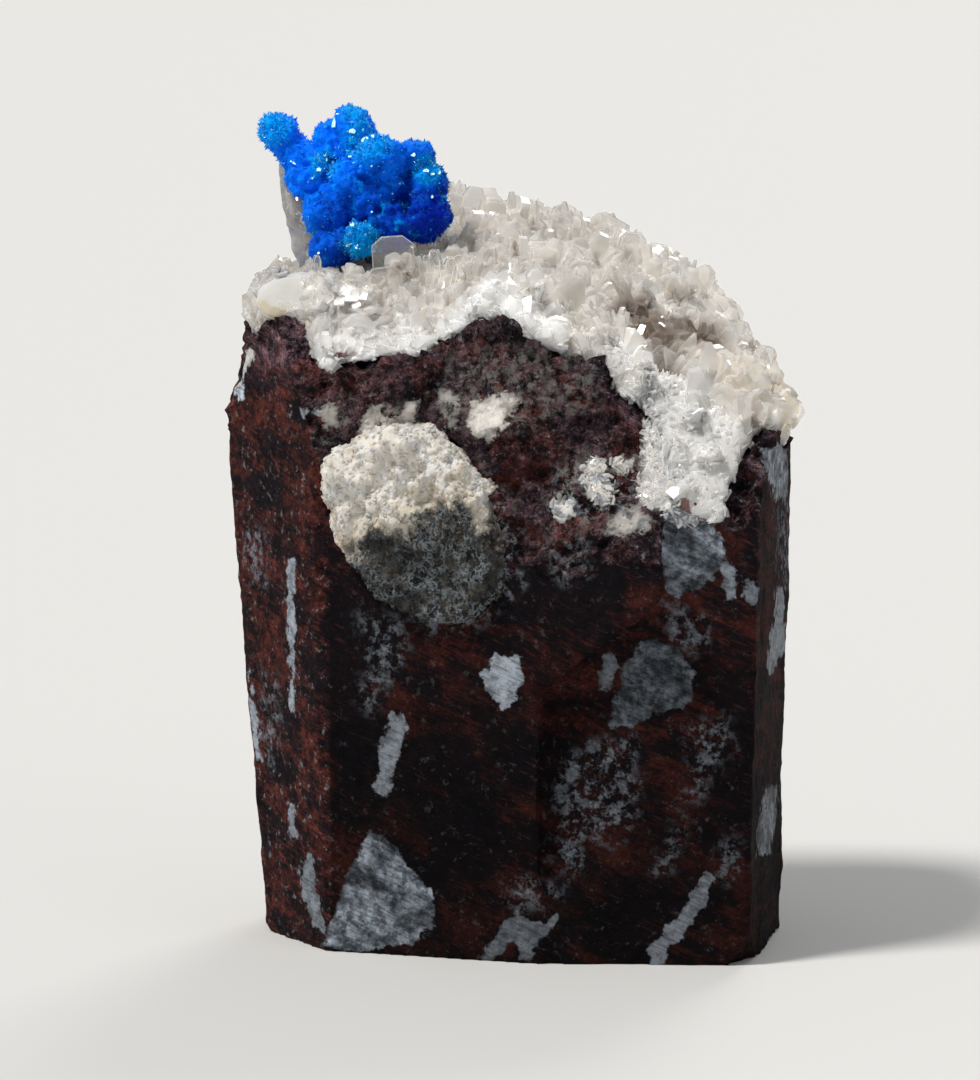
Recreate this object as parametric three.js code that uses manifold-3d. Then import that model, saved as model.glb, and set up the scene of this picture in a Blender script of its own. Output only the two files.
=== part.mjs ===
// A cavansite specimen: blue cavansite balls on a bed of zeolite crystals, which grew on a block of
// red basalt. The block was sawn all round, and its top was left broken.
// Units are millimetres, +Z is up, the front faces -Y, and the origin is under the middle of the block.

import * as THREE from "three";
import { mergeVertices } from "three/addons/utils/BufferGeometryUtils.js";
import Module from "manifold-3d";

const wasm = await Module();
wasm.setup();

// Driving dimensions.
const SEAT_GAP = 0.3; // between two minerals that grew on each other
const BED_OVERHANG = 0.1; // of the bed past the sawn faces of the rock
const BED_LEAST = 0.8; // least thickness of the bed
const BED_FLOOR = 20; // a height below the whole of the bed
const GRID_STEP = 2.0; // spacing of the facets on broken rock
const ROCK_ROUGHNESS = 0.5; // height of the ledges on the broken top
const ROCK_LEDGE = 2.2; // width of one ledge
const ROCK_GRAIN = 1.9; // width of the lumps on the ledges
const BED_ROUGHNESS = 0.35; // unevenness of the crystals' common root
const BED_GRAIN = 1.6; // width of its lumps
const SLOPE_STEP = 0.4; // how far to each side a slope is measured
const REACH = 24; // half the side of the stock that the block is sawn from
const STOCK_HEIGHT = 60;

// The saw cuts. Each one passes through a point of the base's plane, faces a compass direction (0 is the
// right, 90 the back, -90 the front) and leans out from the vertical, in degrees.
const SAW_CUTS = [
  { name: "left front", at: [-12.3, -6.4], facing: -149, lean: 2.0 },
  { name: "front", at: [-5.0, -8.7], facing: -107, lean: 2.0 },
  { name: "right front", at: [18.0, -3.2], facing: -12, lean: 0.9 },
  { name: "right back", at: [17.1, 5.7], facing: 24, lean: 1.4 },
  { name: "back right", at: [10.3, 12.1], facing: 66, lean: 1.0 },
  { name: "back", at: [-1.5, 13.3], facing: 92, lean: 0.6 },
  { name: "back left", at: [-11.5, 11.6], facing: 130, lean: 1.6 },
  { name: "left", at: [-16.0, 4.6], facing: 172, lean: 4.8 },
  { name: "left shoulder", at: [-27.8, 0], facing: 176, lean: -14 },
];
// A second cut on the right of the front face, which stopped short and left a ledge.
const SECOND_CUT = { at: [9.6, -11.1], facing: -93, lean: 0.5 };
const LEDGE = { left: 2.3, foot: 18.4, shoulder: 10.2, slope: 40 };
// Corners knocked off the base: a point on the break, and the way it faces.
const BASE_CHIPS = [
  { at: [-13.6, -7.0, 0.9], facing: [-0.7, -0.6, -0.75] },
  { at: [16.6, -10.4, 1.6], facing: [0.75, -0.6, -0.62] },
  { at: [-16.4, 3.4, 0.7], facing: [-0.8, 0.1, -0.8] },
];

// Spot heights [x, y, z] of the broken top of the rock.
const ROCK_SPOTS = [
  [-18.9, -1, 41.6], [-17.3, -3, 42.4], [-16.8, -4.3, 43.3], [-14.2, -4.7, 43.1], [-13.8, -5.7, 39.7],
  [-12.1, -5.9, 38.1], [-10.8, -4.3, 39.2], [-7.2, -4.0, 39.8], [-4.5, -4.5, 41.0], [-3.0, -5.4, 42.5],
  [-1.1, -5.4, 42.9], [0.4, -5.8, 42.0], [3.6, -5.8, 40.7], [5.6, -5.5, 40.2], [6.9, -5.8, 39.0],
  [8.9, -6.8, 37.3], [9.9, -7.6, 35.5], [-15.4, -6.5, 37.1], [-12.4, -7.9, 34.8], [-8.4, -7.4, 35.8],
  [-5.1, -7.4, 36.5], [-0.4, -8.2, 38.2], [2.5, -8.9, 36.5], [6.2, -8.9, 35.6], [8.8, -9.6, 33.2],
  [-2.4, -9.4, 33.4], [2.4, -9.6, 32.8], [6.2, -10.9, 31.4], [10.4, -12.3, 30.6], [0.9, -11.5, 27.6],
  [-11.8, -8.6, 27.4], [-5.0, -10.3, 27.8], [14.6, -9.2, 32.5], [16.9, -7.5, 35.4], [18.9, -5.1, 35.7],
  [13.5, -11.9, 28.6], [12.2, -8.1, 32.4], [11.9, -5.6, 34.1], [-14.5, -1.5, 39.6], [-15.2, 3.5, 42.4],
  [-9, 1, 41.2], [-3, 1, 41.2], [3.5, 0, 39.8], [9.6, -1, 36.9], [15.5, -2, 33.6],
  [18.9, 2, 34.0], [16.2, 6, 37.2], [12.2, 9.5, 41.0], [5.5, 12.6, 44.0], [-3.5, 13.4, 46.2],
  [-10.5, 11.5, 45.4], [-15, 8.5, 42.6], [4, 6, 42.8], [-4, 7, 44.0], [-10, 6.5, 43.6],
];
// Spot heights of the zeolite bed, at the roots of its crystals.
const BED_SPOTS = [
  [-17.4, -3.2, 43.2], [-16.2, -3.9, 44.3], [-13.9, -4.0, 44.8], [-11.9, -3.4, 44.4], [-12.0, -5.1, 41.7],
  [-7.2, -2.8, 43.2], [-7.2, -4.2, 41.2], [-3.8, -2.0, 43.8], [-0.4, -4.2, 43.6], [-3.5, -4.3, 42.7],
  [-8.6, 1.0, 45.0], [-3.8, 1.0, 45.4], [0.9, -1.0, 44.1], [3.6, -3.6, 42.2], [6.3, -4.7, 40.7],
  [-0.4, 9.0, 47.5], [-3.0, 11.0, 48.9], [3.8, 11.0, 47.3], [8.0, 11.0, 46.0], [11.2, 10.0, 45.0],
  [3.7, 4.0, 45.4], [7.8, 1.6, 43.2], [9.6, -0.6, 39.4], [11.4, -1.2, 38.8], [12.7, 5.0, 42.2],
  [14.2, 7.6, 41.6], [16.4, 4.0, 38.8], [18.7, 2.6, 37.4], [19.2, -0.6, 35.8], [17.2, -3.0, 37.3],
  [13.4, -4.2, 38.0], [11.4, -6.1, 36.9], [17.5, -5.1, 35.7], [15.4, -7.9, 35.2], [12.9, -8.2, 34.6],
  [12.2, -9.9, 32.6], [12.7, -11.5, 30.6], [-12.6, 3.5, 45.2], [-14.6, 7.0, 44.8], [-10.5, 10.5, 47.2],
];
// The plan outline of the bed: its contact with the rock at the front, and past the saw cuts elsewhere.
const BED_OUTLINE = [
  [-19.5, -3.0], [-17.0, -4.4], [-14.6, -4.6], [-14.0, -5.0], [-12.4, -6.1], [-10.9, -5.0], [-7.3, -4.6],
  [-4.7, -5.0], [-3.1, -5.1], [-1.1, -5.0], [0.4, -5.4], [3.6, -5.7], [5.6, -5.4], [7.0, -6.0], [9.0, -7.1],
  [9.9, -8.2], [9.7, -9.4], [10.8, -11.0], [11.2, -13.0], [13.9, -13.0], [14.6, -10.6], [16.0, -8.4],
  [18.6, -6.1], [21.0, -3.6], [21.0, 12.0], [8.0, 17.0], [-8.0, 17.0], [-19.5, 11.0],
];

// Cavansite balls [x, y, z, radius to the tips], each grown into its neighbours.
const CAVANSITE_BALLS = [
  [-9.2, 3.4, 50.8, 3.6], [-11.6, 3.5, 54.2, 1.95], [-10.2, 2.4, 55.0, 1.55], [-8.8, 1.8, 53.0, 2.25],
  [-6.4, 3.0, 53.1, 1.75], [-5.5, 2.6, 51.6, 1.75], [-5.7, 2.2, 49.5, 2.25], [-7.9, 1.6, 48.7, 2.15],
  [-9.8, 0.0, 47.9, 1.4], [-12.2, 2.2, 49.6, 2.0], [-12.0, 1.7, 47.5, 1.5], [-13.4, 3.2, 52.0, 1.85],
  [-14.5, 3.6, 53.7, 1.5], [-15.5, 3.6, 54.9, 1.35], [-8.8, 5.4, 48.8, 2.4], [-12.7, 2.9, 53.0, 1.5],
];
const FINE_BALL = 1.6; // balls over this radius have 80 spikes, and the others 20
const SPIKE_SHARE = 0.8; // radius of a ball between its spikes, as a share of the radius to their tips
const BURIED_SHARE = 0.95; // a spike whose tip is within this share of a neighbour's radius is left out
const SOCKET_SHARE = 1.05; // makes up for the flat facets of a ball's socket in the bed

// The nodule set in the front: its middle, half its depth, the backward tilt of its long axis in degrees,
// the height of its lumps, how far it stands proud of the sawn faces, and its outline [x, z], anticlockwise
// from the right.
const NODULE = { at: [-5.4, -8.9, 29.4], depth: 2.9, tilt: 14, lumps: 0.45, proud: 0.5 };
const NODULE_OUTLINE = [
  [0.9, 28.0], [-0.5, 30.7], [-1.5, 32.6], [-3.3, 34.6], [-4.8, 35.3], [-6.3, 36.6], [-8.7, 35.0],
  [-11.2, 33.3], [-12.4, 31.4], [-11.9, 29.3], [-11.4, 27.3], [-10.3, 26.0], [-8.1, 25.0], [-6.5, 24.4],
  [-5.0, 23.2], [-3.3, 22.9], [-1.5, 24.0], [0.1, 26.1],
];

// Named crystals [x, y, width, height, thickness, heading in degrees, tilt to the right in degrees].
const SHOW_CRYSTALS = [
  [-6.6, -1.2, 3.9, 3.0, 0.7, 6, -3],
  [-2.2, -1.6, 3.0, 3.2, 0.7, -14, 6],
  [-9.0, -2.6, 3.2, 1.9, 0.7, 12, -10],
  [-15.6, -3.6, 2.6, 1.0, 1.5, 8, -20],
  [-12.2, -3.2, 2.2, 2.0, 0.8, -30, 4],
  [1.4, -3.5, 2.6, 2.4, 0.9, -8, 12],
  [8.4, 7.0, 2.4, 2.6, 0.8, 24, 10],
  [12.6, 8.2, 2.0, 2.4, 0.9, -20, 14],
  [17.4, 2.0, 2.2, 2.2, 0.8, 40, 16],
];
// The clear blade behind the cavansite: its outline in x and z, the y of its middle, and its thickness.
const TALL_BLADE = {
  outline: [
    [-12.9, 43.0], [-8.8, 43.0], [-9.0, 50.5], [-11.4, 53.2], [-14.9, 52.6], [-14.6, 50.0], [-13.8, 47.2],
  ],
  y: 5.0,
  thickness: 1.4,
};
const CRYSTAL_SPACING = 2.8; // between neighbouring crystals of the bed
const CRYSTAL_JITTER = 0.6; // how far one strays from the lattice, as a share of the spacing
const CRYSTAL_WIDTH = [1.3, 2.2];
const CRYSTAL_HEIGHT = [1.1, 2.5];
const CRYSTAL_THICKNESS = [0.5, 0.9];
const CRYSTAL_LEAN = 0.55; // how far it leans from the vertical to the bed's own normal
const CRYSTAL_TILT = 25; // greatest random tilt, in degrees
const CRYSTAL_ROOT = 1.1; // how deep a crystal is set in the bed
const CRYSTAL_MARGIN = 0.8; // least distance of a crystal's middle from the edge of the bed
const SHOW_CLEARANCE = 1.2; // least distance of a crystal's middle from that of a named one
const SEED = 41;

const COLOURS = { rock: 0x6b3f37, bed: 0xd9d1c4, cavansite: 0x0a4fd0, nodule: 0xcfc8bb };

const radians = THREE.MathUtils.degToRad;
const mix = THREE.MathUtils.lerp;

// Random numbers from 0 to 1 that are the same on every run.
function randomNumbers(seed) {
  let state = seed;
  return () => {
    state = (state + 0x6d2b79f5) | 0;
    let t = Math.imul(state ^ (state >>> 15), 1 | state);
    t = (t + Math.imul(t ^ (t >>> 7), 61 | t)) ^ t;
    return ((t ^ (t >>> 14)) >>> 0) / 4294967296;
  };
}

// A fixed value from -1 to 1 for a cell of a lattice.
function cellValue(i, j, k) {
  const s = Math.sin(i * 127.1 + j * 311.7 + k * 74.7) * 43758.5453;
  return 2 * (s - Math.floor(s)) - 1;
}

// Smooth noise from -1 to 1 over the plan.
function smoothNoise(x, y, layer) {
  const i = Math.floor(x);
  const j = Math.floor(y);
  const u = THREE.MathUtils.smoothstep(x - i, 0, 1);
  const v = THREE.MathUtils.smoothstep(y - j, 0, 1);
  const near = mix(cellValue(i, j, layer), cellValue(i + 1, j, layer), u);
  const far = mix(cellValue(i, j + 1, layer), cellValue(i + 1, j + 1, layer), u);
  return mix(near, far, v);
}

// A thin plate through the spot heights, as a function of x and y.
function plateThrough(spots) {
  const bend = (x, y, s) => {
    const square = (x - s[0]) ** 2 + (y - s[1]) ** 2;
    return square > 0 ? square * Math.log(square) : 0;
  };
  const n = spots.length;
  const rows = spots.map((p) => [...spots.map((s) => bend(p[0], p[1], s)), 1, p[0], p[1], p[2]]);
  for (const term of [() => 1, (s) => s[0], (s) => s[1]]) rows.push([...spots.map(term), 0, 0, 0, 0]);
  const weights = solve(rows);
  return (x, y) => {
    const slope = weights[n] + weights[n + 1] * x + weights[n + 2] * y;
    return spots.reduce((sum, s, i) => sum + weights[i] * bend(x, y, s), slope);
  };
}

// Solves a square system whose rows end with the right-hand side, by elimination with pivoting.
function solve(rows) {
  const n = rows.length;
  for (let c = 0; c < n; c++) {
    let pivot = c;
    for (let r = c + 1; r < n; r++) if (Math.abs(rows[r][c]) > Math.abs(rows[pivot][c])) pivot = r;
    [rows[c], rows[pivot]] = [rows[pivot], rows[c]];
    for (let r = 0; r < n; r++) {
      if (r === c) continue;
      const share = rows[r][c] / rows[c][c];
      for (let k = c; k <= n; k++) rows[r][k] -= share * rows[c][k];
    }
  }
  return rows.map((row, i) => row[n] / row[i]);
}

// A closed mesh as a solid that can be joined and cut.
function solidOf(geometry) {
  const bare = geometry.clone();
  bare.deleteAttribute("normal");
  bare.deleteAttribute("uv");
  const merged = mergeVertices(bare, 1e-4);
  return new wasm.Manifold(
    new wasm.Mesh({
      numProp: 3,
      vertProperties: new Float32Array(merged.attributes.position.array),
      triVerts: new Uint32Array(merged.index.array),
    }),
  );
}

// A solid as a three.js geometry.
function geometryOf(solid) {
  const mesh = solid.getMesh();
  return new THREE.BufferGeometry()
    .setAttribute("position", new THREE.BufferAttribute(mesh.vertProperties, 3))
    .setIndex(new THREE.BufferAttribute(mesh.triVerts, 1));
}

// A box with one face through the origin of its frame, so that it covers all that the face looks at.
function waste(facing, at, size = 2 * STOCK_HEIGHT) {
  const box = new THREE.BoxGeometry(size, size, size).translate(0, 0, size / 2);
  const up = new THREE.Vector3(0, 0, 1);
  const turn = new THREE.Quaternion().setFromUnitVectors(up, facing.clone().normalize());
  return box.applyQuaternion(turn).translate(...at);
}

function directionOf(cut) {
  const facing = radians(cut.facing);
  const lean = radians(cut.lean);
  const sideways = Math.cos(lean);
  return new THREE.Vector3(Math.cos(facing) * sideways, Math.sin(facing) * sideways, -Math.sin(lean));
}

// What a saw cut removes. A positive allowance leaves that much more stock on.
function sawWaste(cut, allowance = 0) {
  const facing = directionOf(cut);
  const at = new THREE.Vector3(...cut.at, 0).addScaledVector(facing, allowance);
  return solidOf(waste(facing, at.toArray()));
}

// A grid of points over the stock, each lifted off the height function along its normal.
function sheetOver(height, lift = 0) {
  const count = Math.round((2 * REACH) / GRID_STEP);
  const at = (i) => -REACH + (2 * REACH * i) / count;
  const points = [];
  for (let j = 0; j <= count; j++)
    for (let i = 0; i <= count; i++) {
      const [x, y] = [at(i), at(j)];
      const fallX = height(x - SLOPE_STEP, y) - height(x + SLOPE_STEP, y);
      const fallY = height(x, y - SLOPE_STEP) - height(x, y + SLOPE_STEP);
      const normal = new THREE.Vector3(fallX, fallY, 2 * SLOPE_STEP).normalize();
      points.push(new THREE.Vector3(x, y, height(x, y)).addScaledVector(normal, lift));
    }
  return { points, count };
}

// The closed solid between two sheets of the same grid.
function solidBetween(lower, upper) {
  const row = lower.count + 1;
  const positions = [...lower.points, ...upper.points].flatMap((p) => p.toArray());
  const faces = [];
  const quad = (a, b, c, d) => faces.push(a, b, c, a, c, d);
  const top = row * row;
  for (let j = 0; j < lower.count; j++)
    for (let i = 0; i < lower.count; i++) {
      const a = j * row + i;
      quad(top + a, top + a + 1, top + a + row + 1, top + a + row);
      quad(a, a + row, a + row + 1, a + 1);
    }
  for (let i = 0; i < lower.count; i++) {
    const back = lower.count * row + i;
    const left = i * row;
    const right = i * row + lower.count;
    quad(i, i + 1, top + i + 1, top + i);
    quad(back + 1, back, top + back, top + back + 1);
    quad(left + row, left, top + left, top + left + row);
    quad(right, right + row, top + right + row, top + right);
  }
  const geometry = new THREE.BufferGeometry()
    .setAttribute("position", new THREE.Float32BufferAttribute(positions, 3))
    .setIndex(faces);
  return solidOf(geometry);
}

const rockPlate = plateThrough(ROCK_SPOTS);
const bedPlate = plateThrough(BED_SPOTS);

// The broken top of the rock: the plate with ledges where the fracture stepped from one layer to the next.
function rockHeight(x, y) {
  const wander = 0.7 * smoothNoise(x / (2 * ROCK_LEDGE), y / (2 * ROCK_LEDGE), 3);
  const ledge = cellValue(Math.floor(x / ROCK_LEDGE + wander), Math.floor(y / ROCK_LEDGE), 7);
  const lumps = smoothNoise(x / ROCK_GRAIN, y / ROCK_GRAIN, 5);
  return rockPlate(x, y) + ROCK_ROUGHNESS * (0.5 * ledge + 0.7 * lumps);
}

function bedHeight(x, y) {
  const rolling = BED_ROUGHNESS * smoothNoise(x / BED_GRAIN, y / BED_GRAIN, 11);
  return Math.max(bedPlate(x, y) + rolling, rockHeight(x, y) + SEAT_GAP + BED_LEAST);
}

const level = (z) => sheetOver(() => z);

// The block: sawn round, chipped at the base, broken on top.
function rockSolid() {
  let block = solidBetween(level(0), sheetOver(rockHeight));
  for (const cut of SAW_CUTS) block = block.subtract(sawWaste(cut));
  block = block.subtract(secondCutWaste());
  for (const chip of BASE_CHIPS) {
    block = block.subtract(solidOf(waste(new THREE.Vector3(...chip.facing), chip.at)));
  }
  return block;
}

// What the second cut removed: all in front of its plane on the right, and below a sloping ledge beside it.
function secondCutWaste() {
  const front = sawWaste(SECOND_CUT);
  const side = 2 * STOCK_HEIGHT;
  const rightOf = (x) => solidOf(new THREE.BoxGeometry(side, side, 2 * side).translate(x + side / 2, 0, 0));
  const slope = radians(LEDGE.slope);
  const below = solidOf(
    waste(new THREE.Vector3(Math.sin(slope), 0, -Math.cos(slope)), [LEDGE.left, 0, LEDGE.foot], 2 * side),
  );
  const ledge = front.intersect(rightOf(LEDGE.left)).intersect(below);
  return ledge.add(front.intersect(rightOf(LEDGE.shoulder)));
}

// A tabular crystal with a chisel tip. Its root is below the origin and its tip on +Z.
function crystal(width, height, thickness) {
  const shape = new THREE.Shape();
  shape.moveTo(-width / 2, -CRYSTAL_ROOT);
  shape.lineTo(width / 2, -CRYSTAL_ROOT);
  shape.lineTo(width / 2, 0.55 * height);
  shape.lineTo(0.12 * width, height);
  shape.lineTo(-width / 2, 0.7 * height);
  const blade = new THREE.ExtrudeGeometry(shape, { depth: thickness, bevelEnabled: false });
  return blade.translate(0, 0, -thickness / 2).rotateX(Math.PI / 2);
}

function insideOutline(x, y, outline, margin) {
  const inside = (px, py) => {
    let odd = false;
    outline.forEach(([ax, ay], i) => {
      const [bx, by] = outline[(i + 1) % outline.length];
      if (ay > py !== by > py && px < ((bx - ax) * (py - ay)) / (by - ay) + ax) odd = !odd;
    });
    return odd;
  };
  const around = [[margin, 0], [-margin, 0], [0, margin], [0, -margin]];
  return around.every(([dx, dy]) => inside(x + dx, y + dy));
}

// How far a point lies inside the nearest saw cut, at the height of the bed.
function depthInBlock(x, y, z) {
  return Math.min(
    ...SAW_CUTS.map((cut) => -directionOf(cut).dot(new THREE.Vector3(x - cut.at[0], y - cut.at[1], z))),
  );
}

// Stands a crystal on the bed, turned to its heading and tilted.
function standing(geometry, x, y, heading, tiltRight, tiltFront) {
  const fallX = bedPlate(x - 1, y) - bedPlate(x + 1, y);
  const fallY = bedPlate(x, y - 1) - bedPlate(x, y + 1);
  const up = new THREE.Vector3(CRYSTAL_LEAN * fallX, CRYSTAL_LEAN * fallY, 2).normalize();
  const turn = new THREE.Quaternion().setFromUnitVectors(new THREE.Vector3(0, 0, 1), up);
  return geometry
    .rotateX(radians(tiltFront))
    .rotateY(radians(tiltRight))
    .rotateZ(radians(heading))
    .applyQuaternion(turn)
    .translate(x, y, bedHeight(x, y));
}

// The crystals of the bed, on a jittered triangular lattice.
function* bedCrystals() {
  for (const [x, y, width, height, thickness, heading, tilt] of SHOW_CRYSTALS)
    yield standing(crystal(width, height, thickness), x, y, heading, tilt, 0);
  const random = randomNumbers(SEED);
  const between = ([low, high]) => mix(low, high, random());
  for (let row = 0, y = -14; y < 16; row++, y += 0.87 * CRYSTAL_SPACING)
    for (let x = -20 + (row % 2) * 0.5 * CRYSTAL_SPACING; x < 21; x += CRYSTAL_SPACING) {
      const px = x + (random() - 0.5) * CRYSTAL_JITTER * CRYSTAL_SPACING;
      const py = y + (random() - 0.5) * CRYSTAL_JITTER * CRYSTAL_SPACING;
      const blade = crystal(between(CRYSTAL_WIDTH), between(CRYSTAL_HEIGHT), between(CRYSTAL_THICKNESS));
      const heading = 180 * random();
      const right = CRYSTAL_TILT * (2 * random() - 1);
      const front = CRYSTAL_TILT * (2 * random() - 1);
      const depth = depthInBlock(px, py, bedHeight(px, py));
      const onBed = insideOutline(px, py, BED_OUTLINE, 0.6 * CRYSTAL_MARGIN) && depth > CRYSTAL_MARGIN;
      const crowded = SHOW_CRYSTALS.some(([sx, sy]) => Math.hypot(px - sx, py - sy) < SHOW_CLEARANCE);
      if (onBed && !crowded) yield standing(blade, px, py, heading, right, front);
    }
}

function tallBlade() {
  const shape = new THREE.Shape(TALL_BLADE.outline.map(([x, z]) => new THREE.Vector2(x, z)));
  const blade = new THREE.ExtrudeGeometry(shape, { depth: TALL_BLADE.thickness, bevelEnabled: false });
  return blade.rotateX(Math.PI / 2).translate(0, TALL_BLADE.y + TALL_BLADE.thickness / 2, 0);
}

// The bed: a crust over the rock with all its crystals, hollowed where the cavansite sits.
function bedSolid() {
  const outline = new THREE.Shape(BED_OUTLINE.map(([x, y]) => new THREE.Vector2(x, y)));
  const column = new THREE.ExtrudeGeometry(outline, { depth: STOCK_HEIGHT, bevelEnabled: false });
  let bed = solidBetween(level(BED_FLOOR), sheetOver(bedHeight)).intersect(solidOf(column));
  for (const cut of [...SAW_CUTS, SECOND_CUT]) bed = bed.subtract(sawWaste(cut, BED_OVERHANG));
  bed = wasm.Manifold.union([bed, solidOf(tallBlade()), ...[...bedCrystals()].map(solidOf)]);
  bed = bed.subtract(solidBetween(level(0), sheetOver(rockHeight, SEAT_GAP)));
  const sockets = CAVANSITE_BALLS.map(([x, y, z, radius]) =>
    solidOf(new THREE.IcosahedronGeometry(SOCKET_SHARE * (radius + SEAT_GAP), 1).translate(x, y, z)),
  );
  return largestPart(bed.subtract(wasm.Manifold.union(sockets)));
}

function largestPart(solid) {
  return solid.decompose().reduce((best, part) => (part.volume() > best.volume() ? part : best));
}

// A ball of radiating crystals: a point stands on each face of a geodesic ball, unless the point is buried.
function spikyBall(centre, radius, buried) {
  const detail = radius > FINE_BALL ? 1 : 0;
  const faces = new THREE.IcosahedronGeometry(SPIKE_SHARE * radius, detail).attributes.position;
  const corner = (i) => new THREE.Vector3().fromBufferAttribute(faces, i).add(centre).toArray();
  const positions = [];
  for (let i = 0; i < faces.count; i += 3) {
    const [a, b, c] = [corner(i), corner(i + 1), corner(i + 2)];
    const middle = new THREE.Vector3(...a.map((value, k) => (value + b[k] + c[k]) / 3));
    const tip = middle.sub(centre).setLength(radius).add(centre);
    if (buried(tip)) positions.push(...a, ...b, ...c);
    else for (const [p, q] of [[a, b], [b, c], [c, a]]) positions.push(...p, ...q, ...tip.toArray());
  }
  const attribute = new THREE.Float32BufferAttribute(positions, 3);
  return new THREE.BufferGeometry().setAttribute("position", attribute);
}

function cavansiteSolid() {
  const centres = CAVANSITE_BALLS.map(([x, y, z]) => new THREE.Vector3(x, y, z));
  const balls = CAVANSITE_BALLS.map(([, , , radius], i) => {
    const buried = (tip) =>
      centres.some((centre, k) => k !== i && tip.distanceTo(centre) < BURIED_SHARE * CAVANSITE_BALLS[k][3]);
    return solidOf(spikyBall(centres[i], radius, buried));
  });
  return wasm.Manifold.union(balls);
}

// How far the nodule's outline lies from its middle in the direction of an angle.
function noduleReach(angle) {
  const corners = NODULE_OUTLINE.map(([x, z]) => [x - NODULE.at[0], z - NODULE.at[2]]);
  for (let i = 0; i < corners.length; i++) {
    const [ax, az] = corners[i];
    const [bx, bz] = corners[(i + 1) % corners.length];
    const [dx, dz] = [Math.cos(angle), Math.sin(angle)];
    const across = dx * (bz - az) - dz * (bx - ax);
    const along = (dz * ax - dx * az) / across;
    const reach = (ax * (bz - az) - az * (bx - ax)) / across;
    if (along >= 0 && along <= 1 && reach > 0) return reach;
  }
  throw new Error("the nodule's outline doesn't go round its middle");
}

// The lumpy nodule as it grew, or its socket when it is grown by the allowance.
function wholeNodule(allowance) {
  const ball = new THREE.IcosahedronGeometry(1, 3);
  const points = ball.attributes.position;
  const point = new THREE.Vector3();
  for (let i = 0; i < points.count; i++) {
    point.fromBufferAttribute(points, i);
    const reach = noduleReach(Math.atan2(point.z, point.x)) + allowance;
    const lump = smoothNoise(3 * point.x + point.y, 3 * point.z - point.y, 19) * NODULE.lumps;
    const out = point.clone().multiplyScalar(lump);
    point.multiply(new THREE.Vector3(reach, NODULE.depth + allowance, reach)).add(out);
    points.setXYZ(i, ...point.toArray());
  }
  return solidOf(ball.rotateX(-radians(NODULE.tilt)).translate(...NODULE.at));
}

// The nodule as the saw left it: cut almost flush with the two front faces of the block.
function nodule() {
  const [leftFront, front] = SAW_CUTS;
  const behindFront = wholeNodule(0).subtract(sawWaste(front, NODULE.proud));
  return behindFront.subtract(sawWaste(leftFront, NODULE.proud));
}

function piece(name, solid, colour, roughness) {
  const finish = { color: colour, roughness, metalness: 0, flatShading: true };
  const mesh = new THREE.Mesh(geometryOf(solid), new THREE.MeshStandardMaterial(finish));
  mesh.name = name;
  return mesh;
}

const specimen = new THREE.Group();
specimen.add(
  piece("basalt_matrix", rockSolid().subtract(wholeNodule(SEAT_GAP)), COLOURS.rock, 0.85),
  piece("zeolite_bed", bedSolid(), COLOURS.bed, 0.25),
  piece("cavansite_cluster", cavansiteSolid(), COLOURS.cavansite, 0.35),
  piece("front_nodule", nodule(), COLOURS.nodule, 0.7),
);

export default specimen;
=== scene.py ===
# %% [markdown]
# # Cavansite on a sawn block of red basalt
# A mineral specimen, about 56 mm tall. A saw cut the sides of the block, and its top was left broken. White
# and clear zeolite crystals grew on the broken top, and a cluster of blue cavansite sits on them.
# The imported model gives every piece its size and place. Its surfaces could be sculpted by hand, but noise,
# scattered crystals and a few outlines are quicker to change, so this lesson makes them in code.

# %% Load the frame
import math

import bpy
import numpy as np
from mathutils import Euler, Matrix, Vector

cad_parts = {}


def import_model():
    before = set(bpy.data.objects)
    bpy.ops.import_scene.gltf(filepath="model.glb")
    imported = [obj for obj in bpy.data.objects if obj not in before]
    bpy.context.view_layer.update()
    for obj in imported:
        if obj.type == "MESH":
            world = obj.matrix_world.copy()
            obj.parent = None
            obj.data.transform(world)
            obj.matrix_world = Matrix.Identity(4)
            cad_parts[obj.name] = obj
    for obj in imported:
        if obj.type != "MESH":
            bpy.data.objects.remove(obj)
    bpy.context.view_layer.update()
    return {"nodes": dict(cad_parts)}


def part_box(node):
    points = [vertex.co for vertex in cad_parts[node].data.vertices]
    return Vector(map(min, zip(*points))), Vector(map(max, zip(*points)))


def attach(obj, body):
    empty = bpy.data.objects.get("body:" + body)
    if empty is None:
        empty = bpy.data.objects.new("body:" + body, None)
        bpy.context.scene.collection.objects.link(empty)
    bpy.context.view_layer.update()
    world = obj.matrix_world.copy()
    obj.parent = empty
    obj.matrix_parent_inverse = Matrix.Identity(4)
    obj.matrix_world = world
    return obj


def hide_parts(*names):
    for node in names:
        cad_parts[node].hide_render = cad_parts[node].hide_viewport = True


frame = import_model()
MM = 0.001
for name in frame["nodes"]:
    print(name, [round(v / MM, 1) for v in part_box(name)[1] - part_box(name)[0]], "mm")

# %% [markdown]
# ## The view
# The specimen is seen from the front and 7 degrees above, from so far away that its upright edges stay
# parallel. An orthographic camera would do that too, but a long lens keeps a touch of depth. Its length
# follows from the size of one millimetre in the picture.

# %% Camera
LOOK_AT = Vector((-1.1, 0.0, 27.3)) * MM
DISTANCE = 340 * MM
ELEVATION = math.radians(7)
PICTURE_HEIGHT = 1080
PIXELS_PER_MM = 14.6
SENSOR = 36.0

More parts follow.
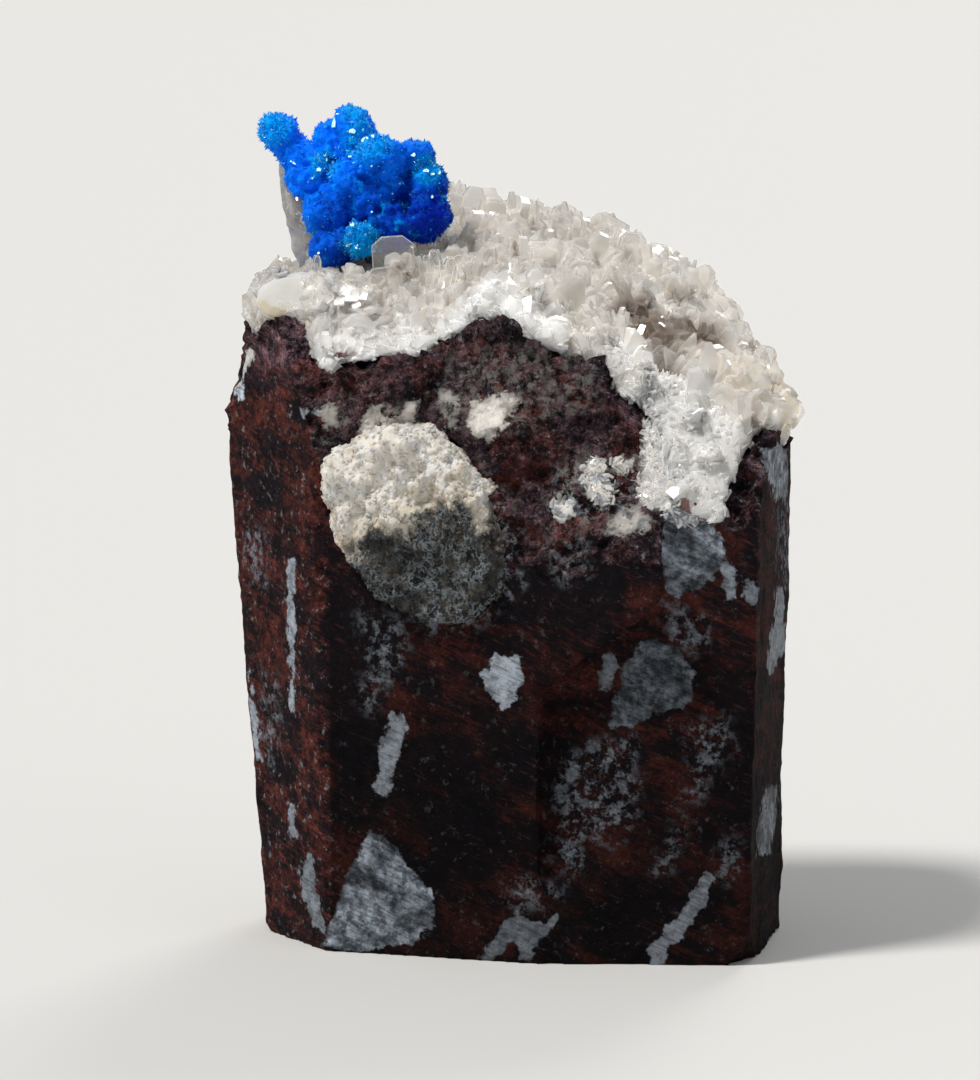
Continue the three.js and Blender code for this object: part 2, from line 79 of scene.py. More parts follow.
toward_camera = Vector((0, -math.cos(ELEVATION), math.sin(ELEVATION)))
camera_turn = (math.pi / 2 - ELEVATION, 0, 0)
bpy.ops.object.camera_add(location=LOOK_AT + DISTANCE * toward_camera, rotation=camera_turn)
camera = bpy.context.object
camera.data.sensor_width = SENSOR
camera.data.lens = SENSOR * PIXELS_PER_MM * (DISTANCE / MM) / PICTURE_HEIGHT
camera.data.clip_start = 10 * MM
camera.data.clip_end = 20
bpy.context.scene.camera = camera
print("lens", round(camera.data.lens, 1), "mm")

# %% [markdown]
# ## The studio
# A stone shows best on a plain pale floor. Three far lamps light it: the key from above and in front, a weak
# fill from the right, and one from behind that lights the edges of the clear crystals. Area lamps would do as
# well, but far lamps light every side evenly, and a wide angle gives each of them a soft shadow.

# %% Floor, lamps and sky
FLOOR_SIZE = 16.0
FLOOR_COLOUR = (0.64, 0.63, 0.61, 1)
SKY_COLOUR = (0.86, 0.89, 0.93, 1)
SKY_STRENGTH = 0.36
LAMPS = [
    # name, direction that the light comes from, strength (W/m2), angle (degrees), colour
    ("key", (-0.60, -0.35, 1.15), 2.9, 12, (1.0, 0.98, 0.95)),
    ("fill", (0.9, -0.7, 0.5), 0.22, 40, (0.94, 0.97, 1.0)),
    ("rim", (0.3, 0.9, 0.8), 0.8, 20, (1.0, 0.99, 0.97)),
]

bpy.ops.mesh.primitive_plane_add(size=FLOOR_SIZE, location=(0, 0, -0.02 * MM))
floor = bpy.context.object
floor.name = "floor"
floor_paint = bpy.data.materials.new("floor_paint")
floor_paint.use_nodes = True
floor_paint.node_tree.nodes["Principled BSDF"].inputs["Base Color"].default_value = FLOOR_COLOUR
floor_paint.node_tree.nodes["Principled BSDF"].inputs["Roughness"].default_value = 0.8
floor.data.materials.append(floor_paint)

for name, origin, strength, angle, colour in LAMPS:
    aim = (-Vector(origin)).to_track_quat("-Z", "Y").to_euler()
    bpy.ops.object.light_add(type="SUN", location=Vector(origin) * 0.3, rotation=aim)
    lamp = bpy.context.object
    lamp.name = name
    lamp.data.energy = strength
    lamp.data.angle = math.radians(angle)
    lamp.data.color = colour
    print("lamp", name, strength, "W/m2")

sky = bpy.data.worlds.new("sky")
bpy.context.scene.world = sky
sky.use_nodes = True
sky.node_tree.nodes["Background"].inputs["Color"].default_value = SKY_COLOUR
sky.node_tree.nodes["Background"].inputs["Strength"].default_value = SKY_STRENGTH
bpy.context.scene.view_settings.view_transform = "Standard"

# %% [markdown]
# ## Tools used on every piece
# An operator acts on all that is selected, so each step first selects its own piece and nothing else. A copy
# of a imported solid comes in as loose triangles, which are welded before they are reshaped. Modifiers could
# stay live, but each is applied at once, so that the next step can read the new surface.

# %% Selecting, welding and modifiers
WELD = 0.005  # corners closer than this, in millimetres, become one
BASE_SKIN = 0.12  # all that is lower than this is pressed flat


def only(*pieces):
    """Selects these pieces and nothing else. The first one is the active one."""
    bpy.ops.object.select_all(action="DESELECT")
    for piece in pieces:
        piece.select_set(True)
    bpy.context.view_layer.objects.active = pieces[0]


def welded_copy(node, name):
    """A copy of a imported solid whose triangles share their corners."""
    piece = bpy.data.objects.new(name, frame["nodes"][node].data.copy())
    piece.data.name = name
    piece.data.materials.clear()
    bpy.context.collection.objects.link(piece)
    only(piece)
    bpy.ops.object.mode_set(mode="EDIT")
    bpy.ops.mesh.select_all(action="SELECT")
    bpy.ops.mesh.remove_doubles(threshold=WELD * MM)
    bpy.ops.mesh.customdata_custom_splitnormals_clear()
    bpy.ops.object.mode_set(mode="OBJECT")
    return piece


def modify(piece, kind, **settings):
    """Adds one modifier and applies it."""
    modifier = piece.modifiers.new(kind.title(), kind)
    for key, value in settings.items():
        setattr(modifier, key, value)
    only(piece)
    bpy.ops.object.modifier_apply(modifier=modifier.name)


def roughen(piece, size, height, depth=2, group="", kind="CLOUDS"):
    """Pushes the surface in and out by clouds or cells of this size, over this height, in millimetres."""
    texture = bpy.data.textures.new(f"{piece.name}_{size}", kind)
    texture.noise_scale = size * MM
    if kind == "CLOUDS":
        texture.noise_depth = depth
    modify(piece, "DISPLACE", texture=texture, texture_coords="LOCAL", strength=height * MM,
           mid_level=0.5, vertex_group=group)


def select_parts(piece, kind, chosen):
    """Opens a piece in edit mode with only the chosen corners (VERT) or edges (EDGE) selected."""
    only(piece)
    bpy.ops.object.mode_set(mode="EDIT")
    bpy.ops.mesh.select_mode(type=kind)
    bpy.ops.mesh.select_all(action="DESELECT")
    bpy.ops.object.mode_set(mode="OBJECT")
    for part in piece.data.vertices if kind == "VERT" else piece.data.edges:
        part.select = chosen(part)
    bpy.ops.object.mode_set(mode="EDIT")


def flatten_base(piece):
    """Presses the underside flat, so that the piece stands on the floor."""
    select_parts(piece, "VERT", lambda corner: corner.co.z < BASE_SKIN * MM)
    bpy.ops.transform.resize(value=(1, 1, 0), center_override=(0, 0, 0))
    bpy.ops.object.mode_set(mode="OBJECT")


# %% [markdown]
# A step often acts on one part of a piece only. That part could be painted by hand, but a rule about the
# places of the corners can be repeated and changed. So the corners are read as an array, and the answer of
# the rule, from 0 to 1, goes into a vertex group for a modifier or into an attribute for a material.

# %% Reading, marking and pushing a surface


def corners(piece):
    """The places of a mesh's corners in millimetres, as an array."""
    values = np.empty(len(piece.data.vertices) * 3, np.float32)
    piece.data.vertices.foreach_get("co", values)
    return values.reshape(-1, 3).astype(float) / MM


def normals(piece):
    """The directions of a mesh's corners, as an array."""
    values = np.empty(len(piece.data.vertices) * 3, np.float32)
    piece.data.vertex_normals.foreach_get("vector", values)
    return values.reshape(-1, 3).astype(float)


def smooth_step(value, low, high):
    """Goes from 0 to 1 as the value goes from low to high, gently at both ends."""
    t = np.clip((value - low) / (high - low), 0, 1)
    return t * t * (3 - 2 * t)


def mark(piece, name, weights):
    """Makes a vertex group for a modifier that should act on part of the piece."""
    group = piece.vertex_groups.new(name=name)
    for index in np.nonzero(weights > 0.001)[0]:
        group.add([int(index)], float(weights[index]), "REPLACE")


def push(piece, height, name, weights):
    """Marks a part of a surface and pushes it out by this height in millimetres."""
    mark(piece, name, weights)
    modify(piece, "DISPLACE", strength=height * MM, mid_level=0, vertex_group=name)


def record(piece, name, values):
    """Stores one number for each corner, for a material to read."""
    attribute = piece.data.attributes.new(name, "FLOAT", "POINT")
    attribute.data.foreach_set("value", np.asarray(values, np.float32))


def place(piece, slot, *nodes):
    """Hangs a finished piece on the specimen. Its slot, what it stands for, is not used."""
    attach(piece, "root")
    if nodes:
        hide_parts(*nodes)
    low, high = corners(piece).min(0), corners(piece).max(0)
    print(f"{piece.name}: {len(piece.data.polygons)} faces, {low.round(1)} to {high.round(1)} mm")


# %% [markdown]
# A material is a small network of nodes, often drawn by hand. These helpers put one node down, set its inputs
# by name and link what comes from another node, so that each recipe below reads from the pattern to the
# shader and can be changed in one place.

# %% Material helpers: nodes


def new_material(name):
    """An empty material: returns it, its tree and its shader."""
    material = bpy.data.materials.new(name)
    material.use_nodes = True
    return material, material.node_tree, material.node_tree.nodes["Principled BSDF"]


def feed(tree, socket, value):
    """Links a node's output to a socket, or sets the socket to a plain value."""
    if isinstance(value, bpy.types.NodeSocket):
        tree.links.new(value, socket)
    else:
        socket.default_value = value


def put(tree, kind, output=0, settings=None, **inputs):
    """Adds a node and returns one of its outputs. An input's name has _ for a space."""
    node = tree.nodes.new(kind)
    for key, value in (settings or {}).items():
        setattr(node, key, value)
    for name, value in inputs.items():
        feed(tree, node.inputs[name.replace("_", " ")], value)
    return node.outputs[output]


def maths(tree, operation, first, second=0.0):
    node = tree.nodes.new("ShaderNodeMath")
    node.operation = operation
    feed(tree, node.inputs[0], first)
    feed(tree, node.inputs[1], second)
    return node.outputs[0]


def plus(tree, first, second):
    return maths(tree, "ADD", first, second)


def minus(tree, first, second):
    return maths(tree, "SUBTRACT", first, second)


def times(tree, first, second):
    return maths(tree, "MULTIPLY", first, second)


def larger(tree, first, second):
    return maths(tree, "MAXIMUM", first, second)


# %% [markdown]
# On top of these come the words of the recipes: mix two colours, make one brighter, go between two values,
# draw noise. Every pattern could have its own nodes, but the few below are enough for all the minerals.

# %% Material helpers: patterns and colours


def mixed(tree, share, first, second):
    """Goes from the first colour to the second as the share goes from 0 to 1."""
    node = tree.nodes.new("ShaderNodeMix")
    node.data_type = "RGBA"
    feed(tree, node.inputs[0], share)
    feed(tree, node.inputs[6], first)
    feed(tree, node.inputs[7], second)
    return node.outputs[2]


def brighter(tree, colour, factor):
    """A colour made brighter or darker by a factor."""
    return put(tree, "ShaderNodeVectorMath", settings={"operation": "SCALE"}, Vector=colour, Scale=factor)


def between(tree, value, low, high, start=0.0, end=1.0):
    """Start where the value is low, end where it is high, and smooth between them."""
    return put(tree, "ShaderNodeMapRange", settings={"interpolation_type": "SMOOTHSTEP"},
               Value=value, From_Min=low, From_Max=high, To_Min=start, To_Max=end)


def noise(tree, where, size, detail=3.0, roughness=0.55):
    """Cloudy noise from 0 to 1 whose patches have this size in millimetres."""
    return put(tree, "ShaderNodeTexNoise", Vector=where, Scale=1 / (size * MM), Detail=detail,
               Roughness=roughness)


def off_middle(tree, pattern, amount):
    """A pattern from 0 to 1 made to swing about zero, times an amount."""
    return times(tree, minus(tree, pattern, 0.5), amount)


def drawn_out(tree, where, share):
    """Draws a pattern out sideways, by counting only this share of the way there."""
    return put(tree, "ShaderNodeMapping", Vector=where, Scale=(share, share, 1.0))


def read(tree, name):
    """A number that was stored on the piece's corners."""
    return put(tree, "ShaderNodeAttribute", output=2, settings={"attribute_name": name})


def object_place(tree):
    return put(tree, "ShaderNodeTexCoord", output=3)


def x_and_z(tree, where):
    """How far across and how far up a point is, in metres."""
    across = put(tree, "ShaderNodeSeparateXYZ", Vector=where)
    return across, across.node.outputs[2]


def bump(tree, shader, height, depth):
    """Tilts the shading as if the surface rose by this depth in millimetres where the height is 1."""
    slope = put(tree, "ShaderNodeBump", Height=height, Distance=depth * MM)
    tree.links.new(slope, shader.inputs["Normal"])


# %% [markdown]
# ## The basalt block
# Weathered basalt is a fine dark rock stained brick red by iron. The saw left flat sides with fine sloping
# scratches and a low ledge in the front, and the broken top is rough. It could be sculpted, but displacement
# by noise gives that roughness at once. Rules say where the block is broken, where the crust begins and where
# the ledge is, so that each push acts on its own part.

# %% Block: the parts of its surface
BROKEN_FROM = 26.0  # lowest height of the broken top
BED_FRONT = [  # the front edge of the crust, seen from above
    (-19.5, -3.0), (-17.0, -4.4), (-14.6, -4.6), (-14.0, -5.0), (-12.4, -6.1), (-10.9, -5.0), (-7.3, -4.6),
    (-4.7, -5.0), (-3.1, -5.1), (-1.1, -5.0), (0.4, -5.4), (3.6, -5.7), (5.6, -5.4), (7.0, -6.0), (9.0, -7.1),
    (9.9, -8.2), (9.7, -9.4), (10.8, -11.0),
]


def broken_share(points, directions):
    """1 on the broken top of the block and 0 on its sawn sides."""
    high = smooth_step(points[:, 2], BROKEN_FROM - 1, BROKEN_FROM + 1)
    return smooth_step(directions[:, 2], 0.10, 0.30) * high


def distance_to_line(points, line):
    """How far each point of a plane is from a line of straight stretches."""
    nearest = np.full(len(points), np.inf)
    for start, end in zip(np.array(line[:-1]), np.array(line[1:])):
        edge = end - start
        along = np.clip((points - start) @ edge / (edge @ edge), 0, 1)
        nearest = np.minimum(nearest, np.linalg.norm(points - start - along[:, None] * edge, axis=1))
    return nearest


def near_bed_front(points, reach):
    """1 at the front edge of the crust, seen from above, falling to 0 at this distance from it."""
    return 1 - smooth_step(distance_to_line(points[:, :2], BED_FRONT), 0, reach)


def over_dome(points):
    """1 behind the dome in the middle of the front, where the crust laps over the rock, and 0 elsewhere."""
    return smooth_step(points[:, 0], -5.0, -2.0) * (1 - smooth_step(points[:, 0], 8.0, 9.5))


def cut_step(points, directions):
    """1 just right of the ledge that the second saw cut left in the front, and 0 away from it."""
    x, z = points[:, 0], points[:, 2]
    across = smooth_step(x, 2.1, 2.5) * (1 - smooth_step(x, 3.6, 7.5))
    return across * smooth_step(z, 5.0, 7.5) * (1 - smooth_step(z, 17.0, 19.0)) * (directions[:, 1] < -0.7)


# %% [markdown]
# Displacement moves corners, so it needs many of them: the block is remeshed into an even net. Then the rim
# below the crust is pushed out and the rock right of the ledge is pushed in. The roughness goes from large to
# small: cells for the broken facets, clouds for lumps and grit, and faint waves on the sawn sides.

# %% Block: an even net, then rough and sawn surfaces
ROCK_CELL = 0.30
block = welded_copy("basalt_matrix", "basalt_block")
modify(block, "REMESH", mode="VOXEL", voxel_size=ROCK_CELL * MM)
rock_points, rock_directions = corners(block), normals(block)
unsawn = broken_share(rock_points, rock_directions)
open_rim = unsawn * near_bed_front(rock_points, 2.2) * (rock_points[:, 0] > -16)
mark(block, "unsawn", unsawn * (1 - 0.8 * smooth_step(-rock_points[:, 1], 12.0, 13.8)))
push(block, 0.45, "rim", open_rim * (1 - over_dome(rock_points)))
push(block, -0.75, "step", cut_step(rock_points, rock_directions))
roughen(block, 4.2, 2.0, group="unsawn", kind="VORONOI")
roughen(block, 1.9, 1.9, depth=4, group="unsawn")
roughen(block, 0.75, 1.1, depth=3, group="unsawn")
roughen(block, 6.0, 0.5)
roughen(block, 0.8, 0.2, depth=1)
flatten_base(block)
print("block:", len(block.data.polygons), "faces")

# %% [markdown]
# ## White spots in the rock
# The bubbles of the old lava filled with white minerals, and the saw cut them flush, so they are colour and
# not relief. They could be painted on an image, but here each spot on the front is an outline in x and z. The
# distance to the nearest outline is stored on the block's corners: the material adds noise to that distance,
# and the edge of the spot comes out crisp and ragged however coarse the net is.

# %% Outlines of the solid white spots, x and z in millimetres
SOLID_SPOTS = [
    # how bright the spot is, and its outline
    (1.0, [(-1.4, 19.7), (-0.7, 20.9), (1.0, 20.7), (1.0, 19.3), (0.4, 17.9), (-0.2, 17.1), (-0.9, 17.8),
           (-1.5, 18.7)]),
    (0.7, [(-7.7, 16.6), (-6.5, 16.7), (-6.7, 15.2), (-7.4, 13.1), (-7.9, 10.9), (-8.7, 11.0), (-8.8, 12.7),
           (-8.3, 14.8)]),
    (0.55, [(-13.6, 6.4), (-13.0, 6.1), (-13.2, 4.5), (-12.5, 3.2), (-12.2, 1.1), (-12.9, 1.4), (-13.8, 3.1),
            (-14.1, 4.8)]),
    (0.45, [(-1.9, 0.1), (-0.4, 2.3), (0.6, 3.5), (1.4, 3.0), (2.6, 2.8), (3.4, 3.4), (3.1, 2.5), (2.2, 1.6),
            (1.6, 0.2), (0.9, 0.2), (0.6, 1.6), (-0.1, 0.9), (-1.1, -0.2)]),
    (0.45, [(6.2, 18.6), (6.1, 19.6), (6.5, 20.8), (7.3, 21.1), (7.4, 20.1), (7.0, 18.8)]),
    (0.6, [(9.6, -0.5), (9.5, 1.0), (10.6, 2.4), (11.9, 4.1), (12.9, 5.8), (13.4, 6.3), (13.8, 5.8),
           (13.3, 4.1), (12.3, 2.8), (10.8, 1.0), (10.4, -0.5)]),
    (0.6, [(14.4, 27.5), (14.8, 27.2), (15.3, 26.1), (15.2, 24.9), (14.6, 24.8), (14.3, 26.1)]),
    (0.5, [(16.1, 26.3), (16.6, 25.9), (16.8, 24.7), (16.3, 24.3), (15.8, 25.1)]),
    (0.6, [(18.3, 24.7), (19.1, 23.8), (19.0, 21.8), (19.6, 20.0), (19.4, 19.1), (18.6, 19.3), (18.0, 18.5),
           (17.6, 19.6), (17.8, 21.2), (18.2, 22.6)]),
    (0.9, [(-14.8, 26.4), (-14.4, 26.6), (-14.3, 21.0), (-14.4, 15.9), (-14.7, 15.8), (-14.8, 20.9)]),
    (0.9, [(-18.6, 21.2), (-18.1, 20.9), (-17.4, 16.7), (-16.9, 11.9), (-17.3, 11.6), (-18.0, 15.9)]),
    (0.8, [(-14.9, 9.4), (-14.4, 9.5), (-14.4, 7.2), (-14.8, 6.8)]),
    (1.5, [(-17.2, 40.8), (-17.0, 40.4), (-18.0, 38.4), (-17.9, 37.2), (-18.5, 36.8), (-18.7, 35.9),
           (-18.5, 34.1), (-19.0, 33.9), (-19.6, 35.4), (-19.7, 37.2), (-19.0, 39.0), (-17.9, 40.3)]),
    (1.5, [(-2.3, 37.4), (-1.1, 38.0), (0.7, 38.3), (0.9, 37.6), (-0.1, 36.0), (-1.1, 34.9), (-2.1, 35.4),
           (-2.7, 36.4)]),
    (1.5, [(5.1, 33.3), (5.5, 34.1), (6.2, 34.0), (6.4, 33.3), (5.9, 32.7), (5.2, 32.7)]),
    (1.5, [(5.0, 32.6), (5.7, 33.0), (6.6, 32.8), (7.2, 32.0), (7.0, 31.3), (6.1, 31.1), (5.4, 31.5)]),
    (1.4, [(7.0, 33.8), (7.6, 34.1), (8.3, 33.8), (8.2, 33.1), (7.4, 33.0)]),
    (1.5, [(3.0, 31.0), (3.7, 31.5), (4.5, 31.3), (4.4, 30.5), (3.7, 30.1), (3.1, 30.3)]),
    (1.5, [(8.5, 32.4), (9.5, 32.8), (10.4, 32.5), (10.4, 31.1), (9.6, 30.9), (8.8, 31.4)]),
    (0.9, [(6.6, 30.1), (7.4, 30.9), (8.5, 31.1), (9.5, 30.6), (9.2, 29.5), (7.8, 29.1), (6.7, 29.3)]),
    (1.5, [(-9.8, 35.9), (-8.9, 37.5), (-8.1, 37.3), (-8.5, 35.9), (-9.3, 34.4), (-9.9, 34.6)]),
    (1.3, [(-12.6, 36.8), (-11.8, 37.5), (-11.1, 37.1), (-11.3, 35.9), (-12.2, 35.6)]),
    (0.8, [(-13.9, 37.0), (-13.3, 37.1), (-13.2, 36.2), (-13.8, 36.0)]),
    (0.9, [(-4.6, 38.2), (-3.8, 38.4), (-2.9, 38.1), (-3.1, 37.3), (-4.2, 37.2)]),
    (0.7, [(-4.3, 37.0), (-3.3, 37.0), (-3.2, 35.8), (-4.0, 35.7)]),
    (1.7, [(-8.9, 34.9), (-8.2, 36.1), (-7.4, 36.5), (-6.6, 37.6), (-5.9, 37.5), (-6.1, 36.0), (-6.5, 35.0),
           (-6.8, 34.4)]),
    (1.4, [(9.3, 36.1), (8.8, 32.7), (8.9, 31.2), (10.1, 30.9), (10.7, 29.9), (12.1, 29.6), (13.6, 30.1),
           (14.2, 31.4), (15.1, 33.4), (15.5, 35.4)]),
]
print("solid spots:", len(SOLID_SPOTS))

# %% [markdown]
# Some bubbles hold a darker grey mineral, and others only a lace of white between specks of rock. They could
# be random patches, but an outline with its own brightness puts each where the eye expects it.

# %% Outlines of the grey and the lacy spots
GREY_SPOTS = [
    (1.5, [(-9.2, 8.5), (-8.2, 8.1), (-6.5, 6.0), (-5.1, 4.7), (-4.8, 2.3), (-6.5, 0.8), (-9.9, 0.1),
           (-12.5, 0.3), (-11.9, 2.2), (-10.9, 5.0), (-9.9, 7.1)]),
    (0.6, [(6.9, 16.0), (7.1, 17.6), (7.7, 20.0), (8.9, 21.7), (10.2, 22.1), (11.5, 21.3), (12.5, 19.9),
           (12.3, 18.0), (11.5, 17.3), (9.9, 17.2), (8.9, 16.5), (7.9, 16.1)]),
    (1.3, [(10.4, 30.8), (12.1, 31.0), (13.7, 30.1), (14.4, 27.7), (13.8, 26.4), (12.5, 25.3), (11.5, 24.8),
           (10.6, 25.4), (10.3, 27.4)]),
    (1.1, [(16.8, 34.5), (18.7, 34.2), (19.6, 32.0), (19.2, 30.1), (18.2, 30.6), (17.6, 32.2)]),
    (1.0, [(17.5, 11.1), (18.7, 10.4), (18.6, 8.1), (18.0, 6.3), (16.9, 7.0), (16.9, 9.5)]),
]
LACE_SPOTS = [
    (0.5, [(-9.8, 23.3), (-6.8, 23.0), (-6.6, 21.0), (-7.8, 18.9), (-9.0, 16.6), (-10.1, 17.4),
           (-9.3, 20.2)]),
    (0.5, [(2.8, 11.8), (3.6, 13.5), (5.6, 14.9), (8.4, 15.5), (8.7, 11.9), (8.4, 9.2), (6.9, 8.0),
           (5.6, 8.8), (4.6, 6.3), (3.0, 6.6), (3.6, 9.8)]),
    (0.5, [(12.1, 16.0), (12.9, 16.5), (14.7, 17.0), (14.9, 15.0), (13.9, 13.3), (12.9, 11.1), (11.8, 11.2),
           (12.2, 13.3)]),
    (0.4, [(11.0, 8.9), (11.7, 10.5), (11.8, 8.9), (10.8, 6.2), (9.9, 6.2)]),
    (0.5, [(10.5, 24.7), (12.2, 24.0), (13.6, 23.4), (13.2, 21.7), (12.2, 21.0), (10.7, 22.0), (10.3, 23.0)]),
    (0.5, [(-0.1, 5.4), (1.6, 5.8), (3.6, 5.4), (3.4, 4.0), (1.6, 3.8), (0.1, 4.1)]),
    (0.4, [(14.1, 7.9), (15.0, 8.7), (16.2, 8.2), (16.1, 6.5), (14.9, 5.8), (14.1, 6.4)]),
    (0.6, [(2.5, 28.8), (4.2, 29.5), (5.4, 28.6), (5.2, 26.5), (3.5, 26.1), (2.7, 27.1)]),
    (1.2, [(2.5, 31.0), (3.5, 33.2), (5.5, 34.2), (9.0, 33.8), (10.4, 31.9), (9.9, 30.3), (6.2, 29.8),
           (3.3, 29.9)]),
    (0.8, [(-4.8, 37.0), (-3.8, 39.6), (-1.8, 40.5), (2.6, 39.8), (3.6, 38.6), (0.9, 38.0), (-3.1, 36.0)]),
    (1.2, [(-12.6, 36.2), (-11.1, 37.8), (-10.2, 37.0), (-10.8, 35.7), (-12.2, 34.9)]),
    (1.2, [(-9.2, 35.0), (-8.1, 37.5), (-6.1, 37.2), (-6.0, 34.8), (-7.4, 34.0)]),
    (0.7, [(18.6, 30.4), (19.6, 29.9), (19.8, 25.6), (19.2, 24.0), (18.5, 26.2)]),
    (0.7, [(-3.8, 40.4), (0.9, 41.4), (6.2, 39.7), (6.2, 37.7), (0.9, 35.7), (-2.4, 35.7), (-4.4, 37.7)]),
    (0.6, [(-7.6, 24.6), (-5.2, 22.3), (-2.0, 22.7), (0.9, 25.6), (1.3, 28.6), (0.2, 31.4), (-2.0, 34.0),
           (-2.6, 31.0), (-2.0, 26.0), (-4.5, 24.5)]),
    (0.8, [(-16.6, 18.0), (-15.9, 18.3), (-15.7, 15.1), (-16.1, 12.0), (-16.6, 13.4)]),
    (0.7, [(-17.8, 28.4), (-16.6, 28.0), (-16.6, 24.8), (-17.2, 23.9), (-18.0, 26.0)]),
]
print("grey spots:", len(GREY_SPOTS), "lacy spots:", len(LACE_SPOTS))

# %% [markdown]
# The rock between the spots isn't the same all over either. It is nearly black in places: dark slate, and
# painted shadow under the nodule and the broken top. It is rusty in some parts of the broken top, and paler
# on the horn at its left end. These patches have no edge, so no outline is needed: soft balls are enough.

# %% Dark, rusty and pale patches
DARK_AND_SHADOW_PATCHES = [
    # x, 0, z and radius of the nearly black parts of the front: dark slate and painted shadow
    ((-9.6, 0, 26.0), 2.6), ((-9.6, 0, 22.6), 2.8), ((-9.9, 0, 18.6), 2.2), ((-9.7, 0, 14.6), 2.3),
    ((-9.9, 0, 10.6), 2.0), ((-4.6, 0, 12.6), 3.0), ((-2.4, 0, 8.0), 2.8), ((0.5, 0, 25.4), 2.6),
    ((5.5, 0, 26.4), 2.6), ((9.2, 0, 27.8), 1.7), ((3.2, 0, 13.5), 1.6), ((8.5, 0, 3.0), 2.8),
    ((15.5, 0, 14.5), 2.4), ((0.5, 0, 14.0), 2.2), ((-15.4, 0, 12.0), 1.2), ((-16.4, 0, 31.0), 1.2),
    ((15.8, 0, 30.8), 1.8), ((17.0, 0, 28.0), 1.4),
]
RUST_PATCHES = [
    # x, 0, z and radius of the parts of the broken top that are rusty
    ((8.3, 0, 34.2), 1.7), ((-2.2, 0, 32.2), 1.6), ((-13.8, 0, 33.4), 1.4), ((2.8, 0, 33.4), 1.5),
    ((-10.6, 0, 38.8), 1.2), ((4.6, 0, 29.4), 1.6), ((-15.2, 0, 36.5), 1.3),
]
PALE_PATCHES = [((-15.8, 0, 40.2), 2.6), ((-13.6, 0, 41.4), 1.6)]  # the paler horn at the left end
print("patches:", len(DARK_AND_SHADOW_PATCHES), "dark,", len(RUST_PATCHES), "rusty,", len(PALE_PATCHES), "pale")

# %% [markdown]
# A point is inside an outline when a line drawn from it to the right crosses the outline an odd number of
# times, and its distance then counts as negative. Behind the front the distance grows, so that a spot ends
# just round the corner. Cutting the net along the outlines would work too, but needs far more faces.

# %% Distances to the spots
BACKWARD_FROM = 1.0  # the sides turn towards the back behind this y
FAR = 9.0  # the distance that is stored where no spot is near


def region(points, balls):
    """1 well inside any of the balls and 0 outside them, with a soft edge."""
    share = np.zeros(len(points))
    for centre, radius in balls:
        distance = np.linalg.norm(points - centre, axis=1)
        share = np.maximum(share, 1 - smooth_step(distance, 0.7 * radius, 1.2 * radius))
    return share


def is_inside(points, outline):
    """Whether each point is inside a closed outline."""
    inside = np.zeros(len(points), bool)
    for start, end in zip(outline, outline[1:] + outline[:1]):
        if start[1] != end[1]:
            crossing = start[0] + (points[:, 1] - start[1]) * (end[0] - start[0]) / (end[1] - start[1])
            inside ^= ((start[1] > points[:, 1]) != (end[1] > points[:, 1])) & (points[:, 0] < crossing)
    return inside


def front_spots(points, spots):
    """The distance to the nearest spot, seen from the front, and how bright that spot is."""
    flat = points[:, [0, 2]]
    distances = []
    for _, outline in spots:
        distance = distance_to_line(flat, outline + outline[:1])
        distances.append(np.where(is_inside(flat, outline), -distance, distance))
    nearest = np.argmin(distances, axis=0)
    brightness = np.array([light for light, _ in spots])[nearest]
    distance = np.min(distances, axis=0) + 0.7 * np.maximum(points[:, 1] - BACKWARD_FROM, 0)
    return np.minimum(distance, FAR), brightness


# %% [markdown]
# Nobody knows the spots of the other sides, so they are drawn at random, as flattened bubbles that stand
# upright in the rock. Each is an ellipsoid in the block and not a patch on one face, so that it runs round an
# edge as a real bubble does.

# %% Bubbles at the back and the sides
BUBBLES = 90
BUBBLES_BELOW = 42
BUBBLE_RADII = (0.25, 1.5)
BUBBLE_STRETCH = (1.1, 3.2)
bubble_draw = np.random.default_rng(58)


def bubble_distance(points, directions):
    """The distance to the nearest bubble, away from the front."""
    around = np.nonzero((directions[:, 1] > -0.25) & (points[:, 2] < BUBBLES_BELOW))[0]
    nearest = np.full(len(points), FAR)
    for centre in points[bubble_draw.choice(around, BUBBLES)]:
        radius = bubble_draw.uniform(*BUBBLE_RADII)
        half = np.array([radius, radius, radius * bubble_draw.uniform(*BUBBLE_STRETCH)])
        reach = np.linalg.norm((points - centre) / half, axis=1)
        nearest = np.minimum(nearest, (reach - 1) * radius)
    return np.where(directions[:, 1] > -0.1, nearest, FAR)


# %% [markdown]
# What the outlines, the patches and the bubbles say is now stored on the corners of the roughened block. An
# image would need the block unwrapped first, and corners don't. The bubbles are smaller on the right, where
# the rock is finer. The dome in the front counts as broken, although it is steep.

# %% Store the spots and patches on the block
rock_points, rock_directions = corners(block), normals(block)
bubbles = bubble_distance(rock_points, rock_directions)
facing_front = smooth_step(-rock_directions[:, 1], 0.3, 0.5)
dome_foot = 38.5 - 6.0 * smooth_step(rock_points[:, 0], -13, -12)
on_dome = smooth_step(rock_points[:, 2], dome_foot, dome_foot + 2) * facing_front
on_dome = on_dome * (1 - smooth_step(rock_points[:, 0], 14, 15))
fine_side = smooth_step(rock_points[:, 0] + 0.4 * rock_points[:, 2], -2, 16)
NO_BUBBLES = 2 * FAR
for name, spots, gap in (("solid", SOLID_SPOTS, 1.2 * fine_side), ("grey", GREY_SPOTS, NO_BUBBLES),
                         ("lace", LACE_SPOTS, -0.2)):
    distance, light = front_spots(rock_points, spots)
    record(block, f"{name}_spot", np.minimum(distance, bubbles + gap))
    record(block, f"{name}_light", light)
record(block, "broken", np.maximum(broken_share(rock_points, rock_directions), on_dome))
# The dark patches are partly painted shadow under the nodule and the broken top.
for name, balls in (("dark", DARK_AND_SHADOW_PATCHES), ("rusty", RUST_PATCHES), ("pale", PALE_PATCHES)):
    record(block, name, region(rock_points * [1, 0, 1], balls) * facing_front)
